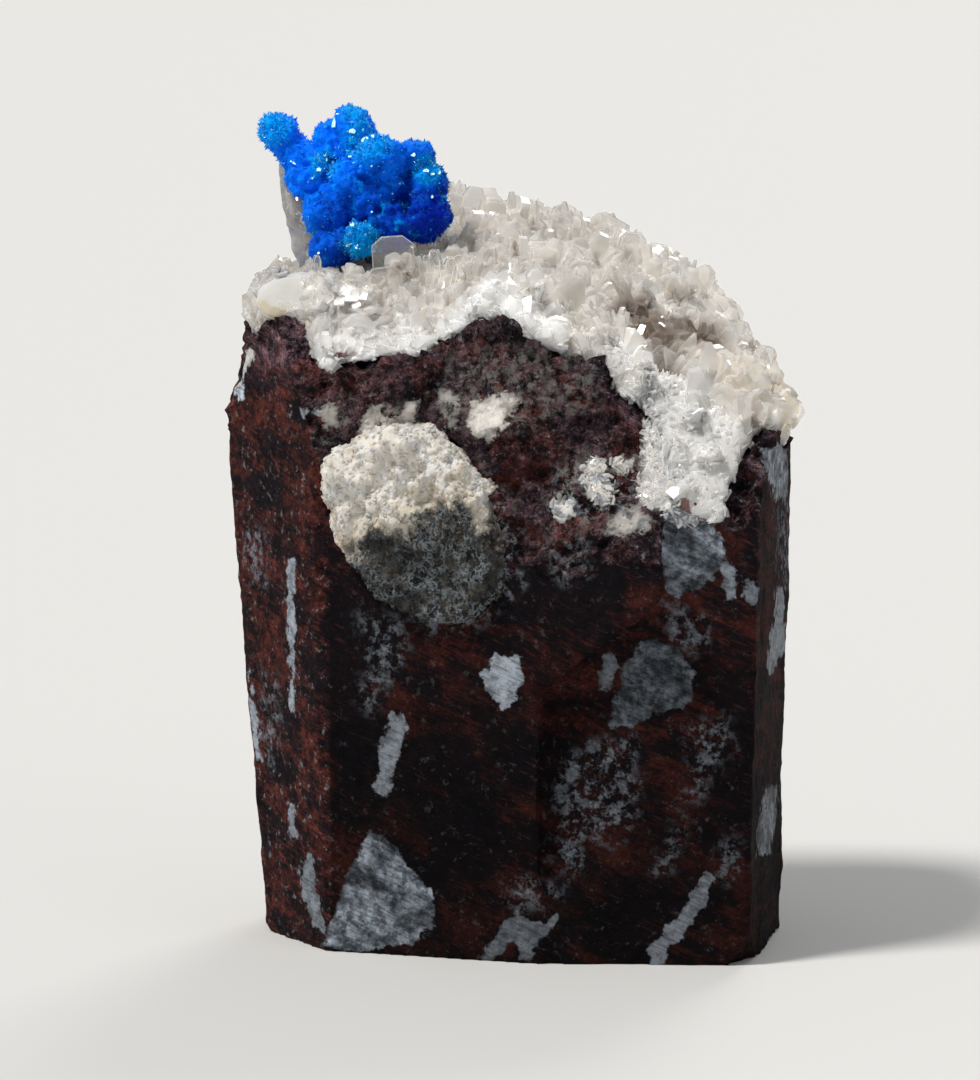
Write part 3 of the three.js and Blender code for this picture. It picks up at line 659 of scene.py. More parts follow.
print("stored:", [name for name in block.data.attributes.keys() if not name.startswith(".")])

# %% [markdown]
# ## The colours of the basalt
# The white mineral of the spots is cool and scored where the saw cut it, and cream where it broke. The grey
# one is smoky with paler bands. Plain colours would look like paper, so both get veins, and the saw's scores
# bite into them.

# %% Colours of the spots
SLATE = (0.004, 0.0045, 0.0065, 1)
CHALK = (0.42, 0.465, 0.53, 1)
CREAM = (0.88, 0.82, 0.74, 1)
SMOKE = (0.035, 0.040, 0.048, 1)
ASH = (0.19, 0.215, 0.245, 1)


def spot_colours(tree, where, sawn, broken):
    """The white and the grey mineral of the spots: cool where they are sawn, cream where they are broken."""
    veins = noise(tree, where, 0.8, detail=6, roughness=0.75)
    scores = noise(tree, drawn_out(tree, sawn, 0.16), 0.22, detail=3)
    bite = times(tree, between(tree, scores, 0.36, 0.50, 0.4, 0.0), minus(tree, 1.0, broken))
    bands = noise(tree, drawn_out(tree, sawn, 0.4), 1.5, detail=5)
    white = mixed(tree, between(tree, veins, 0.36, 0.60), mixed(tree, broken, ASH, CREAM), CHALK)
    white = mixed(tree, times(tree, broken, 0.75), white, CREAM)
    grey = mixed(tree, between(tree, veins, 0.38, 0.64), SMOKE, ASH)
    grey = brighter(tree, grey, between(tree, bands, 0.36, 0.62, 0.45, 1.9))
    return mixed(tree, bite, white, SMOKE), mixed(tree, bite, grey, SLATE)


# %% [markdown]
# The rock's colour has three scales: brick red and slate patches of a few millimetres, then the streaks that
# the saw drew, then the grain. The streaks are noise that is eight times longer than wide, turned to the
# slope of the scratches. The broken top has none. It is more purple, with rust and black pits.

# %% Colour of the bare rock
BRICK_DARK = (0.020, 0.0065, 0.006, 1)
BRICK = (0.054, 0.014, 0.0105, 1)
BRICK_LIGHT = (0.175, 0.058, 0.042, 1)
RUST = (0.120, 0.030, 0.022, 1)
PURPLE = (0.100, 0.052, 0.063, 1)
LILAC = (0.360, 0.250, 0.275, 1)


def slate_share(tree, sawn, sawn_share, left, streaks, grain):
    """Where the rock is slate and not red."""
    patches = noise(tree, drawn_out(tree, sawn, 0.42), 2.0, detail=9, roughness=0.74)
    along_streaks = off_middle(tree, streaks, times(tree, sawn_share, 0.40))
    slate = plus(tree, patches, plus(tree, along_streaks, off_middle(tree, grain, 0.35)))
    slate = minus(tree, slate, times(tree, left, 0.01))
    # The dark patches add slate, partly as painted shadow.
    slate = plus(tree, slate, times(tree, read(tree, "dark"), 0.13))
    return between(tree, slate, 0.430, 0.540)


def bare_rock(tree, where, slate, sawn_share, broken, left, streaks, grain):
    """The rock without spots: red and scratched where it is sawn, purple and pitted where it is broken."""
    red = mixed(tree, between(tree, noise(tree, where, 3.4, detail=5), 0.38, 0.62), BRICK_DARK, BRICK)
    red = mixed(tree, between(tree, grain, 0.50, 0.74, 0.0, 0.8), red, BRICK_LIGHT)
    red = mixed(tree, times(tree, left, 0.35), red, RUST)
    top = mixed(tree, between(tree, noise(tree, where, 2.6, detail=5), 0.50, 0.60), PURPLE, RUST)
    top = mixed(tree, read(tree, "rusty"), top, RUST)
    top = mixed(tree, between(tree, grain, 0.46, 0.66, 0.0, 0.7), top, LILAC)
    rock = mixed(tree, broken, red, top)
    rock = mixed(tree, times(tree, slate, between(tree, broken, 0, 1, 0.92, 0.5)), rock, SLATE)
    scores = times(tree, between(tree, streaks, 0.60, 0.74, 0.0, 0.25), sawn_share)
    rock = mixed(tree, scores, rock, BRICK_LIGHT)
    cuts = times(tree, between(tree, streaks, 0.28, 0.42, 0.50, 0.0), sawn_share)
    rock = mixed(tree, cuts, rock, SLATE)
    pits = between(tree, noise(tree, where, 1.5, detail=6, roughness=0.65), 0.54, 0.62)
    return mixed(tree, times(tree, pits, times(tree, broken, 0.85)), rock, SLATE)


def mottled(tree, rock, where, strong, light):
    """The rock with black pepper and light and dark mottling, which are strong on some parts only."""
    pepper = between(tree, noise(tree, where, 0.8, detail=8, roughness=0.8), 0.47, 0.56, 0.0, 0.85)
    rock = mixed(tree, times(tree, pepper, strong), rock, SLATE)
    mottle = between(tree, noise(tree, where, 0.7, detail=8, roughness=0.85), 0.32, 0.68, 0.25, 2.2)
    mottle = times(tree, mottle, between(tree, strong, 0.0, 1.0, 0.45, 1.0))
    mottle = plus(tree, mottle, between(tree, strong, 0.0, 1.0, 0.55, 0.0))
    return brighter(tree, rock, times(tree, mottle, light))


# %% [markdown]
# The finished basalt puts the spots over the rock, lacy ones first and solid ones last. Each spot's edge is
# its stored distance plus two sizes of noise. The foot of the front is darker than its top, a painted shade,
# and the left face is redder, and pale dust sits on what is rough.

# %% Basalt material
SCRATCH_SLOPE = math.radians(-24)
LEFT_EDGE = -11.6  # where the left front face meets the front, in x
# The foot of the front gets a painted shade, which fades out between these heights.
FOOT_SHADE_BRIGHTNESS = 0.45  # how bright the rock is at its foot
FOOT_SHADE_SPAN = (7, 33)  # the heights between which it gets brighter
HORN_LIGHT = 2.0
DUST = (0.30, 0.31, 0.33, 1)


def left_face_and_foot_shade(tree, where):
    """Where the left face is, and the painted shade that darkens the rock and the spots towards the foot."""
    across, up = x_and_z(tree, where)
    left = between(tree, across, (LEFT_EDGE - 0.4) * MM, LEFT_EDGE * MM, 1.0, 0.0)
    low = between(tree, up, FOOT_SHADE_SPAN[0] * MM, FOOT_SHADE_SPAN[1] * MM, FOOT_SHADE_BRIGHTNESS, 1.0)
    low = larger(tree, low, left)
    return left, low, between(tree, low, FOOT_SHADE_BRIGHTNESS, 1.0, 0.75, 1.0)


def basalt_material():
    material, tree, shader = new_material("red_basalt")
    where = object_place(tree)
    sawn = put(tree, "ShaderNodeMapping", Vector=where, Rotation=(0, SCRATCH_SLOPE, 0))
    broken = read(tree, "broken")
    sawn_share = minus(tree, 1.0, broken)
    left, rock_foot_shade, spot_foot_shade = left_face_and_foot_shade(tree, where)
    streaks = noise(tree, drawn_out(tree, sawn, 0.12), 0.24, detail=3, roughness=0.6)
    grain = noise(tree, where, 0.24, detail=5, roughness=0.75)
    slate = slate_share(tree, sawn, sawn_share, left, streaks, grain)
    rock = bare_rock(tree, where, slate, sawn_share, broken, left, streaks, grain)
    horn = between(tree, read(tree, "pale"), 0.0, 1.0, 1.0, HORN_LIGHT)
    strong = larger(tree, broken, times(tree, left, 0.8))
    # The rock gets the painted shade towards the foot, and the horn is paler.
    rock = mottled(tree, rock, where, strong, times(tree, rock_foot_shade, horn))

    ragged = off_middle(tree, noise(tree, where, 1.0, detail=4, roughness=0.6), 1.5)
    fretted = noise(tree, where, 0.45, detail=6, roughness=0.75)
    ragged = plus(tree, ragged, off_middle(tree, fretted, between(tree, broken, 0, 1, 0.5, 1.4)))
    holes = between(tree, noise(tree, where, 0.75, detail=6, roughness=0.72), 0.47, 0.60)

    def from_edge(name):
        return plus(tree, read(tree, name), ragged)

    def inside(name, edge=0.10):
        return between(tree, from_edge(name), -edge, edge, 1.0, 0.0)

    # The spots get a weaker painted shade towards the foot.
    def shaded(colour, light):
        return brighter(tree, colour, times(tree, read(tree, light), spot_foot_shade))

    white, grey = spot_colours(tree, where, sawn, broken)
    rim_light = between(tree, broken, 0, 1, 1.0, 0.45)
    white = brighter(tree, white, between(tree, from_edge("solid_spot"), -0.7, 0.1, 1.15, rim_light))
    solid, filled = inside("solid_spot"), inside("grey_spot")
    lace = times(tree, inside("lace_spot", 0.8), holes)
    colour = mixed(tree, times(tree, lace, 0.85), rock, shaded(white, "lace_light"))
    colour = mixed(tree, filled, colour, shaded(grey, "grey_light"))
    colour = mixed(tree, solid, colour, shaded(white, "solid_light"))
    dust = between(tree, noise(tree, where, 0.55, detail=5, roughness=0.7), 0.58, 0.68)
    dusty = larger(tree, between(tree, broken, 0.0, 1.0, 0.10, 0.85), times(tree, left, 0.5))
    feed(tree, shader.inputs["Base Color"], mixed(tree, times(tree, dust, dusty), colour, DUST))

    spot = larger(tree, solid, filled)
    feed(tree, shader.inputs["Roughness"], between(tree, spot, 0, 1, 0.75, 0.40))
    shader.inputs["Specular IOR Level"].default_value = 0.05
    scratches = times(tree, streaks, times(tree, sawn_share, 0.8))
    relief = plus(tree, times(tree, grain, 0.9), scratches)
    rubble = times(tree, noise(tree, where, 0.9, detail=7, roughness=0.8), 5.0)
    relief = plus(tree, relief, times(tree, rubble, broken))
    relief = plus(tree, relief, times(tree, times(tree, solid, broken), 1.5))
    bump(tree, shader, relief, 0.15)
    return material


block.data.materials.append(basalt_material())
only(block)
bpy.ops.object.shade_smooth_by_angle(angle=math.radians(40))
place(block, "red_basalt", "basalt_matrix")

# %% [markdown]
# ## Many small crystals
# A crust has thousands of crystals. Copying an object for each would be slow, so one template of a few faces
# is modelled, and a single mesh is built from its copies. A plate is a cube with its upper corners cut off, as
# on a real stilbite blade, and a needle is a thin pyramid.

# %% Templates: a plate with a chamfered head, and a needle


def taken(piece):
    """Takes the points and faces of a template and removes its object."""
    shape = {"points": corners(piece) * MM, "faces": [tuple(face.vertices) for face in piece.data.polygons]}
    only(piece)
    bpy.ops.object.delete()
    return shape


def template_plate(name, chamfer, taper):
    """A plate one unit wide, deep and tall that stands on the origin, with its two upper corners cut off."""
    bpy.ops.object.select_all(action="DESELECT")
    bpy.ops.mesh.primitive_cube_add(size=1, location=(0, 0, 0.5))
    plate = bpy.context.object
    plate.name = name
    bpy.ops.object.transform_apply(location=True, rotation=False, scale=False)

    def upper_side(edge):
        ends = [plate.data.vertices[i].co for i in edge.vertices]
        return min(end.z for end in ends) > 0.5 and abs(ends[0].x - ends[1].x) < 0.01

    select_parts(plate, "EDGE", upper_side)
    bpy.ops.mesh.bevel(offset=chamfer, segments=1)
    bpy.ops.object.mode_set(mode="OBJECT")
    select_parts(plate, "VERT", lambda corner: corner.co.z > 0.99)
    bpy.ops.transform.resize(value=(taper, taper, 1))
    bpy.ops.object.mode_set(mode="OBJECT")
    return taken(plate)


def template_needle(name, sides):
    """A pointed needle one unit wide and tall that stands on the origin."""
    bpy.ops.object.select_all(action="DESELECT")
    bpy.ops.mesh.primitive_cone_add(vertices=sides, radius1=0.5, radius2=0, depth=1, location=(0, 0, 0.5),
                                    end_fill_type="NOTHING")
    needle = bpy.context.object
    needle.name = name
    bpy.ops.object.transform_apply(location=True, rotation=False, scale=False)
    return taken(needle)


plates = [template_plate("plate_blunt", 0.22, 0.9), template_plate("plate_coffin", 0.38, 0.8),
          template_plate("plate_sharp", 0.47, 0.6)]
needle = template_needle("needle", 4)
print("templates:", [len(shape["faces"]) for shape in plates + [needle]], "faces")

# %% [markdown]
# Crystals grow all over a surface, so their roots are drawn from its faces, large faces more often. Each copy
# has its own place, direction, size and shade. Two numbers go with it to the material: how far along the
# crystal a point lies, and the crystal's own shade. Without them thousands of copies would look alike.

# %% One mesh from many copies


def unit(vectors):
    return vectors / np.linalg.norm(vectors, axis=-1, keepdims=True)


def faces_of(piece):
    """The centres (mm), directions and areas of a mesh's faces."""
    count = len(piece.data.polygons)
    centres, directions = np.empty(count * 3, np.float32), np.empty(count * 3, np.float32)
    areas = np.empty(count)
    piece.data.polygons.foreach_get("center", centres)
    piece.data.polygons.foreach_get("normal", directions)
    piece.data.polygons.foreach_get("area", areas)
    return centres.reshape(-1, 3).astype(float) / MM, directions.reshape(-1, 3).astype(float), areas


def scattered(piece, count, share, draw):
    """Random faces of a piece: their centres and directions. The share says how likely each face is."""
    centres, directions, areas = faces_of(piece)
    weights = areas * share(centres, directions)
    chosen = draw.choice(len(weights), min(count, int((weights > 0).sum())), replace=False,
                         p=weights / weights.sum())
    return centres[chosen], directions[chosen]


def many(name, templates, roots, ups, heads, sizes, draw):
    """One mesh with a copy of a template on every root. Ups point along the copies and heads across them.

    Sizes are the width, depth and length of each copy in millimetres.
    """
    across = unit(heads - (heads * ups).sum(1, keepdims=True) * ups)
    axes = np.stack([across, np.cross(ups, across), ups], axis=1) * sizes[:, :, None]
    kinds = draw.integers(0, len(templates), len(roots))
    shades = draw.random(len(roots))
    points, faces, along, shade = [], [], [], []
    for index, (root, own_axes) in enumerate(zip(roots, axes)):
        shape = templates[kinds[index]]
        start = len(points)
        points.extend(root + shape["points"] @ own_axes)
        faces.extend([tuple(start + i for i in face) for face in shape["faces"]])
        along.extend(shape["points"][:, 2])
        shade.extend([shades[index]] * len(shape["points"]))
    mesh = bpy.data.meshes.new(name)
    mesh.from_pydata(np.array(points) * MM, [], faces)
    piece = bpy.data.objects.new(name, mesh)
    bpy.context.collection.objects.link(piece)
    record(piece, "along", along)
    record(piece, "shade", shade)
    return piece


# %% [markdown]
# ## The zeolite crust
# Stilbite and heulandite grew over the broken top as a milky crust. It could be built from crystals alone,
# but gaps would show between them, so a body comes first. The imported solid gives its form: it is remeshed and
# smoothed until its blocky crystals are low humps. Its front edge is drawn in at the sides and laps over the
# dome in the middle. The large crystals of the solid are smoothed away where clear plates will stand.

# %% Crust: an even net and a fitted edge
CRUST_CELL = 0.33
SHOW_PLATES = [
    # x, y, height of the top, width, depth (mm), then how it turns and leans (degrees)
    (-7.6, -1.3, 48.2, 2.8, 0.35, 6, -3), (-2.7, -1.7, 46.9, 2.6, 0.35, -14, 4),
    (-8.1, -2.7, 46.2, 2.4, 0.40, 8, -8), (-5.4, -1.5, 46.9, 0.9, 0.6, 10, 2),
    (-4.7, -1.7, 47.3, 0.9, 0.6, -20, -3), (-4.0, -1.5, 46.8, 0.8, 0.6, 15, 5),
    (-12.9, -1.6, 46.9, 0.5, 0.40, 20, 3), (-3.9, -2.6, 46.4, 0.3, 0.25, 0, 12),
    (8.4, 7.0, 48.0, 1.5, 0.5, 24, 10), (12.6, 8.2, 45.0, 1.4, 0.6, -20, 14),
    (17.4, 2.0, 40.5, 1.6, 0.6, 40, 16),
]


def near_plates(points):
    """1 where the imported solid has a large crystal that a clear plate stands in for, and 0 elsewhere."""
    places = np.array([row[:2] for row in SHOW_PLATES])
    distance = np.min(np.linalg.norm(points[:, None, :2] - places[None], axis=2), axis=1)
    return (1 - smooth_step(distance, 1.6, 2.4)) * (points[:, 2] < 49)


def low_left(points):
    """1 on the left end of the crust, where it is thin, and 0 elsewhere."""
    x, z = points[:, 0], points[:, 2]
    return (1 - smooth_step(x, -14.5, -11.5)) * (1 - smooth_step(z, 47.0, 48.0)) * smooth_step(z, 44.0, 45.0)


crust = welded_copy("zeolite_bed", "zeolite_crust")
modify(crust, "REMESH", mode="VOXEL", voxel_size=CRUST_CELL * MM)
modify(crust, "SMOOTH", factor=0.6, iterations=20)
at_front, at_dome = near_bed_front(corners(crust), 1.5), over_dome(corners(crust))
push(crust, -0.5, "front_edge", at_front * (1 - at_dome))
push(crust, 0.7, "lip", at_front * at_dome)
mark(crust, "stubs", near_plates(corners(crust)))
modify(crust, "SMOOTH", factor=0.9, iterations=45, vertex_group="stubs")
push(crust, -0.8, "low_left", low_left(corners(crust)))
print("crust:", len(crust.data.polygons), "faces")

# %% [markdown]
# The crust isn't the same all over. On the right shoulder it is white and massive, down to the tip of its
# tongue. In a hollow beside that the crystals are smoky brown, and their brown is partly painted shade of
# the hollow. The shoulder behind it is buff, and the left corner is stained yellow. Separate pieces would
# show seams, so each of these is a soft region round some centres. The grains are then rougher where the
# crust isn't massive.

# %% Regions and grains of the crust
MASSIVE = [((10.8, -4.8, 37.2), 3.9), ((12.2, -7.8, 34.4), 4.0), ((12.6, -10.5, 31.6), 4.0),
           ((8.0, -5.2, 39.6), 2.0)]
# A hollow of smoky crystals, whose brown is partly painted shade.
SMOKY_SHADED_HOLLOW = [((9.2, 0.2, 41.4), 3.0), ((12.4, 0.8, 40.4), 2.8), ((11.0, -1.8, 38.6), 1.8)]
YELLOW = [((-16.6, -4.4, 43.3), 0.9), ((-15.5, -4.6, 42.9), 0.8), ((18.4, -2.6, 35.6), 1.2)]
SHOULDER = [((15.8, -3.0, 37.9), 3.4), ((13.1, -1.5, 39.2), 2.0), ((17.5, -0.5, 37.5), 3.0)]
BUFF = SHOULDER + [((12.9, -11.2, 30.8), 1.8)]
CORNER = [((-15.6, -3.5, 44.4), 2.6), ((-13.4, -3.6, 45.0), 2.0)]
RUSTY = [((11.6, -11.8, 30.9), 0.7), ((-9.3, -4.4, 41.2), 0.5), ((-10.4, -4.6, 40.6), 0.4),
         ((-8.2, -4.4, 40.6), 0.4), ((-11.2, -4.8, 40.2), 0.5)]


def note_regions(piece):
    """Stores the regions of the crust on a piece, for its material."""
    points = corners(piece)
    for name, balls in (("massive", MASSIVE), ("smoky", SMOKY_SHADED_HOLLOW), ("yellow", YELLOW), ("buff", BUFF)):
        record(piece, name, region(points, balls))
    middle = (points[:, 1] < 0) * (np.abs(points[:, 0] + 4.4) < 8.4)
    # The front edge of the crust is whiter: partly its own fused white, partly painted light.
    record(piece, "front", near_bed_front(points, 2.2) * middle)


mark(crust, "grainy", 1 - 0.65 * region(corners(crust), MASSIVE + CORNER))
push(crust, 0.35, "massive_part", region(corners(crust), MASSIVE))
roughen(crust, 2.2, 0.9, group="grainy")
roughen(crust, 0.8, 0.7, group="grainy")
roughen(crust, 0.42, 0.30, depth=1)
note_regions(crust)
record(crust, "rusty", region(corners(crust), RUSTY))
print("crust:", corners(crust).min(0).round(1), "to", corners(crust).max(0).round(1), "mm")

# %% [markdown]
# Light enters a milky crystal and comes out again beside the place where it went in. Plain white paint lacks
# that and looks like plaster, so the crust scatters light below its surface. Its colour is milky and beige in
# patches, with the regions over it and a few specks of rust.

# %% Crust material
MILK = (0.71, 0.69, 0.655, 1)
BEIGE = (0.53, 0.475, 0.415, 1)
SNOW = (0.86, 0.845, 0.815, 1)
FRONT_WHITE_AND_LIGHT = (0.97, 0.965, 0.955, 1)
DULL_WHITE = (0.81, 0.805, 0.795, 1)
GLASSY_GREY = (0.50, 0.475, 0.445, 1)
# The brown of the smoky crystals, and painted shade of their hollow.
BROWN_SMOKE_AND_SHADE = (0.30, 0.245, 0.205, 1)
HONEY = (0.78, 0.66, 0.44, 1)
CREAM_BUFF = (0.68, 0.60, 0.485, 1)
RUST_SPECK = (0.20, 0.03, 0.012, 1)


def zeolite_colour(tree, white):
    """Milky and beige patches with this share of white, and over them the regions of the crust."""
    where = object_place(tree)
    colour = mixed(tree, between(tree, noise(tree, where, 2.6, detail=5), 0.40, 0.62), MILK, BEIGE)
    colour = mixed(tree, times(tree, read(tree, "buff"), 0.85), colour, CREAM_BUFF)
    glassy = between(tree, noise(tree, where, 1.2, detail=4, roughness=0.6), 0.54, 0.66, 0.0, 0.6)
    colour = mixed(tree, glassy, colour, GLASSY_GREY)
    colour = mixed(tree, white, colour, SNOW)
    colour = mixed(tree, times(tree, read(tree, "massive"), 0.8), colour, DULL_WHITE)
    # The front edge is whiter, partly as painted light.
    colour = mixed(tree, read(tree, "front"), colour, FRONT_WHITE_AND_LIGHT)
    # The hollow is brown: smoky crystals and painted shade.
    colour = mixed(tree, times(tree, read(tree, "smoky"), 0.92), colour, BROWN_SMOKE_AND_SHADE)
    return mixed(tree, times(tree, read(tree, "yellow"), 0.7), colour, HONEY)


def crust_material():
    material, tree, shader = new_material("zeolite_crust")
    where = object_place(tree)
    colour = zeolite_colour(tree, between(tree, noise(tree, where, 0.8, detail=4), 0.52, 0.66))
    ragged = plus(tree, read(tree, "rusty"), noise(tree, where, 0.35, detail=3))
    colour = mixed(tree, between(tree, ragged, 0.95, 1.15, 0.0, 0.8), colour, RUST_SPECK)
    cells = put(tree, "ShaderNodeTexVoronoi", Vector=where, Scale=1 / (1.15 * MM), Randomness=1.0)
    speck = between(tree, cells, 0.07, 0.12, 1.0, 0.0)
    rare = between(tree, noise(tree, where, 1.6, detail=1), 0.50, 0.58)
    colour = mixed(tree, times(tree, speck, rare), colour, RUST_SPECK)
    feed(tree, shader.inputs["Base Color"], colour)
    shader.inputs["Roughness"].default_value = 0.3
    shader.inputs["Subsurface Weight"].default_value = 0.8
    shader.inputs["Subsurface Radius"].default_value = (1.0, 0.92, 0.84)
    shader.inputs["Subsurface Scale"].default_value = 1.2 * MM
    bump(tree, shader, noise(tree, where, 0.3, detail=5, roughness=0.75), 0.25)
    return material


crust.data.materials.append(crust_material())
place(crust, "zeolite_crystal", "zeolite_bed")

# %% [markdown]
# ## Blades in sheaves
# Each crystal of the crust is a small blade with a slanting head. Particles could strew them evenly, but real
# blades stand in sheaves: neighbours turn the same way and fan out from the middle of their sheaf. So the
# faces that carry a blade are drawn at random, and the nearest sheaf decides how each blade turns and leans.
# Blades are shorter in front of the blue balls, at the front edge and at both ends of the crust.

# %% Blades in sheaves
BALLS = [
    ((-9.2, 3.4, 50.8), 3.6), ((-11.6, 3.5, 54.2), 1.95), ((-10.2, 2.4, 55.0), 1.55),
    ((-8.8, 1.8, 53.0), 2.25), ((-6.4, 3.0, 53.1), 1.75), ((-5.5, 2.6, 51.6), 1.75),
    ((-5.7, 2.2, 49.5), 2.25), ((-7.9, 1.6, 48.7), 2.15), ((-9.8, 0.0, 47.9), 1.4), ((-12.2, 2.2, 49.6), 2.0),
    ((-12.0, 1.7, 47.5), 1.5), ((-13.4, 3.2, 52.0), 1.85), ((-14.5, 3.6, 53.7), 1.5),
    ((-15.5, 3.6, 54.9), 1.35), ((-8.8, 5.4, 48.8), 2.4),
]
blade_draw = np.random.default_rng(21)


def before_balls(points):
    """1 on the low part of the crust in front of the blue balls, and 0 elsewhere."""
    x, y = points[:, 0], points[:, 1]
    return (1 - smooth_step(x, -6.0, -2.0)) * (1 - smooth_step(y, 1.5, 3.5))


def sheaf_blades(piece, name, share, count, sheaves, length, width, thick, stray):
    """Blades that stand on a piece in sheaves, where the share allows it.

    Length and width are ranges in millimetres, thick is a share of the width, and stray says how they lean.
    """
    roots, directions = scattered(piece, count, share, blade_draw)
    middles = roots[blade_draw.integers(0, len(roots), sheaves)]
    nearest = np.argmin(np.linalg.norm(roots[:, None] - middles[None], axis=2), axis=1)
    turns = blade_draw.uniform(0, math.pi, sheaves)[nearest] + blade_draw.normal(0, 0.35, len(roots))
    fan = (roots - middles[nearest]) * 0.25
    ups = unit(0.55 * directions + [0, 0, 0.8] + fan + blade_draw.normal(0, stray, roots.shape))
    heads = np.stack([np.cos(turns), np.sin(turns), np.zeros(len(roots))], axis=1)
    tall = blade_draw.uniform(*length, len(roots)) * blade_draw.uniform(0.7, 1.3, sheaves)[nearest]
    tall = tall * (1 - 0.45 * before_balls(roots)) * (1 - 0.4 * low_left(roots))
    tall = tall * (1 - 0.45 * near_bed_front(roots, 2.5) * (length[1] > 1))
    tall = tall * (1 - 0.4 * smooth_step(roots[:, 0], 15.5, 18.0))
    wide = blade_draw.uniform(*width, len(roots))
    sizes = np.stack([wide, wide * blade_draw.uniform(*thick, len(roots)), tall], axis=1)
    return many(name, plates, roots - 0.5 * tall[:, None] * ups, ups, heads, sizes, blade_draw)


# %% [markdown]
# Each kind of crystal has its own ground. Weights painted by hand would be lost with every change of the
# crust, so a short rule for each kind takes the places and directions of the faces, and says how likely a
# crystal is there.

# %% Where each kind of crystal stands
TONGUE_SPECKS = [spot for spot in SOLID_SPOTS if spot[0] >= 1.4 and spot[1][0][0] > 0]  # right of the middle
TONGUE_ROOT = SOLID_SPOTS[-1:]


def clear_of_balls(points, margin):
    """1 for the points that are outside the blue balls by this margin, and 0 for the others."""
    gap = np.min([np.linalg.norm(points - centre, axis=1) - radius for centre, radius in BALLS], axis=0)
    return (gap > margin).astype(float)


def blade_share(points, directions):
    """All over the crust, but not below the balls and seldom in the corner and on the massive part."""
    upward = smooth_step(directions[:, 2], 0.15, 0.50)
    corner = 1 - 0.97 * region(points, CORNER)
    edge = 1 - 0.75 * near_bed_front(points, 1.3)
    return upward * corner * edge * clear_of_balls(points, -0.3) * (1 - 0.95 * region(points, MASSIVE))


def shoulder_share(points, directions):
    """On the buff shoulder, away from its outer edge."""
    inner = (points[:, 1] < 1) * (points[:, 0] < 17)
    return region(points, SHOULDER) * smooth_step(directions[:, 2], 0.1, 0.4) * inner


def sugar_share(points, _):
    """On the massive part and along the front edge."""
    return 0.5 * region(points, MASSIVE) + 0.6 * near_bed_front(points, 1.6) * (points[:, 0] > -14)


def foot_share(points, directions):
    """On the rock left of the tongue, where fine white crystals spread over it."""
    distance = np.min([front_spots(points, [spot])[0] for spot in TONGUE_ROOT + TONGUE_SPECKS], axis=0)
    return (distance < 0.1) * (directions[:, 1] < -0.2) * 1.0


def smoky_share(points, directions):
    return region(points, SMOKY_SHADED_HOLLOW) * smooth_step(directions[:, 2], 0.0, 0.4)


def tall_blade_share(points, directions):
    """On the foot of the tall blade, which is part of the crust."""
    return (points[:, 2] > 47.4) * (points[:, 0] < -10.5) * (points[:, 1] > 2.5) * (directions[:, 1] < 0.6)


# %% [markdown]
# Zeolite blades are clear with a milky inside. Fully clear blades would show the dark behind them and vanish,
# so part of the light goes straight through and part is scattered inside. A blade is whitest at its tip, which
# is partly its own pale end and partly painted light, a glow through the tip. Its own shade says how white
# the rest is. Large ones may have veins, which are cracks inside them.

# %% Blade material
VEIN_GREY = (0.55, 0.59, 0.66, 1)


def blade_material(name, clear, milky, roughness, least_white=0.3, veined=False):
    """Clear is the share of light that goes straight through, and milky the share scattered inside."""
    material, tree, shader = new_material(name)
    # The whiter tip is partly painted light, for the glow through it.
    tip = between(tree, read(tree, "along"), 0.72, 1.0, 0.0, 0.75)
    rest = between(tree, read(tree, "shade"), 0.35, 1.0, least_white, 0.8)
    colour = zeolite_colour(tree, larger(tree, tip, rest))
    if veined:
        veins = noise(tree, object_place(tree), 1.3, detail=7, roughness=0.7)
        colour = mixed(tree, between(tree, veins, 0.42, 0.56, 0.8, 0.0), colour, VEIN_GREY)
        bump(tree, shader, veins, 0.5)
    feed(tree, shader.inputs["Base Color"], colour)
    shader.inputs["Transmission Weight"].default_value = clear
    shader.inputs["Subsurface Weight"].default_value = milky
    shader.inputs["Subsurface Radius"].default_value = (1.2, 1.1, 1.0)
    shader.inputs["Subsurface Scale"].default_value = 1.1 * MM
    shader.inputs["IOR"].default_value = 1.50
    shader.inputs["Roughness"].default_value = roughness
    return material


def finish_crystals(piece, material, shadow=False):
    """Colours crystals and hangs them on the specimen. Thin ones throw no shadow: they pass the light on."""
    note_regions(piece)
    piece.data.materials.append(material)
    piece.visible_shadow = shadow
    place(piece, "zeolite_crystal")


# %% [markdown]
# The kinds differ only in place, number, size and finish, so one table says it all: blades everywhere, chunks
# between them, columns on the shoulder, fine crystals on the massive part, others on the rock at its foot,
# smoky ones in the hollow, and flakes on the foot of the tall blade. A cell for each would say the same
# things seven times.

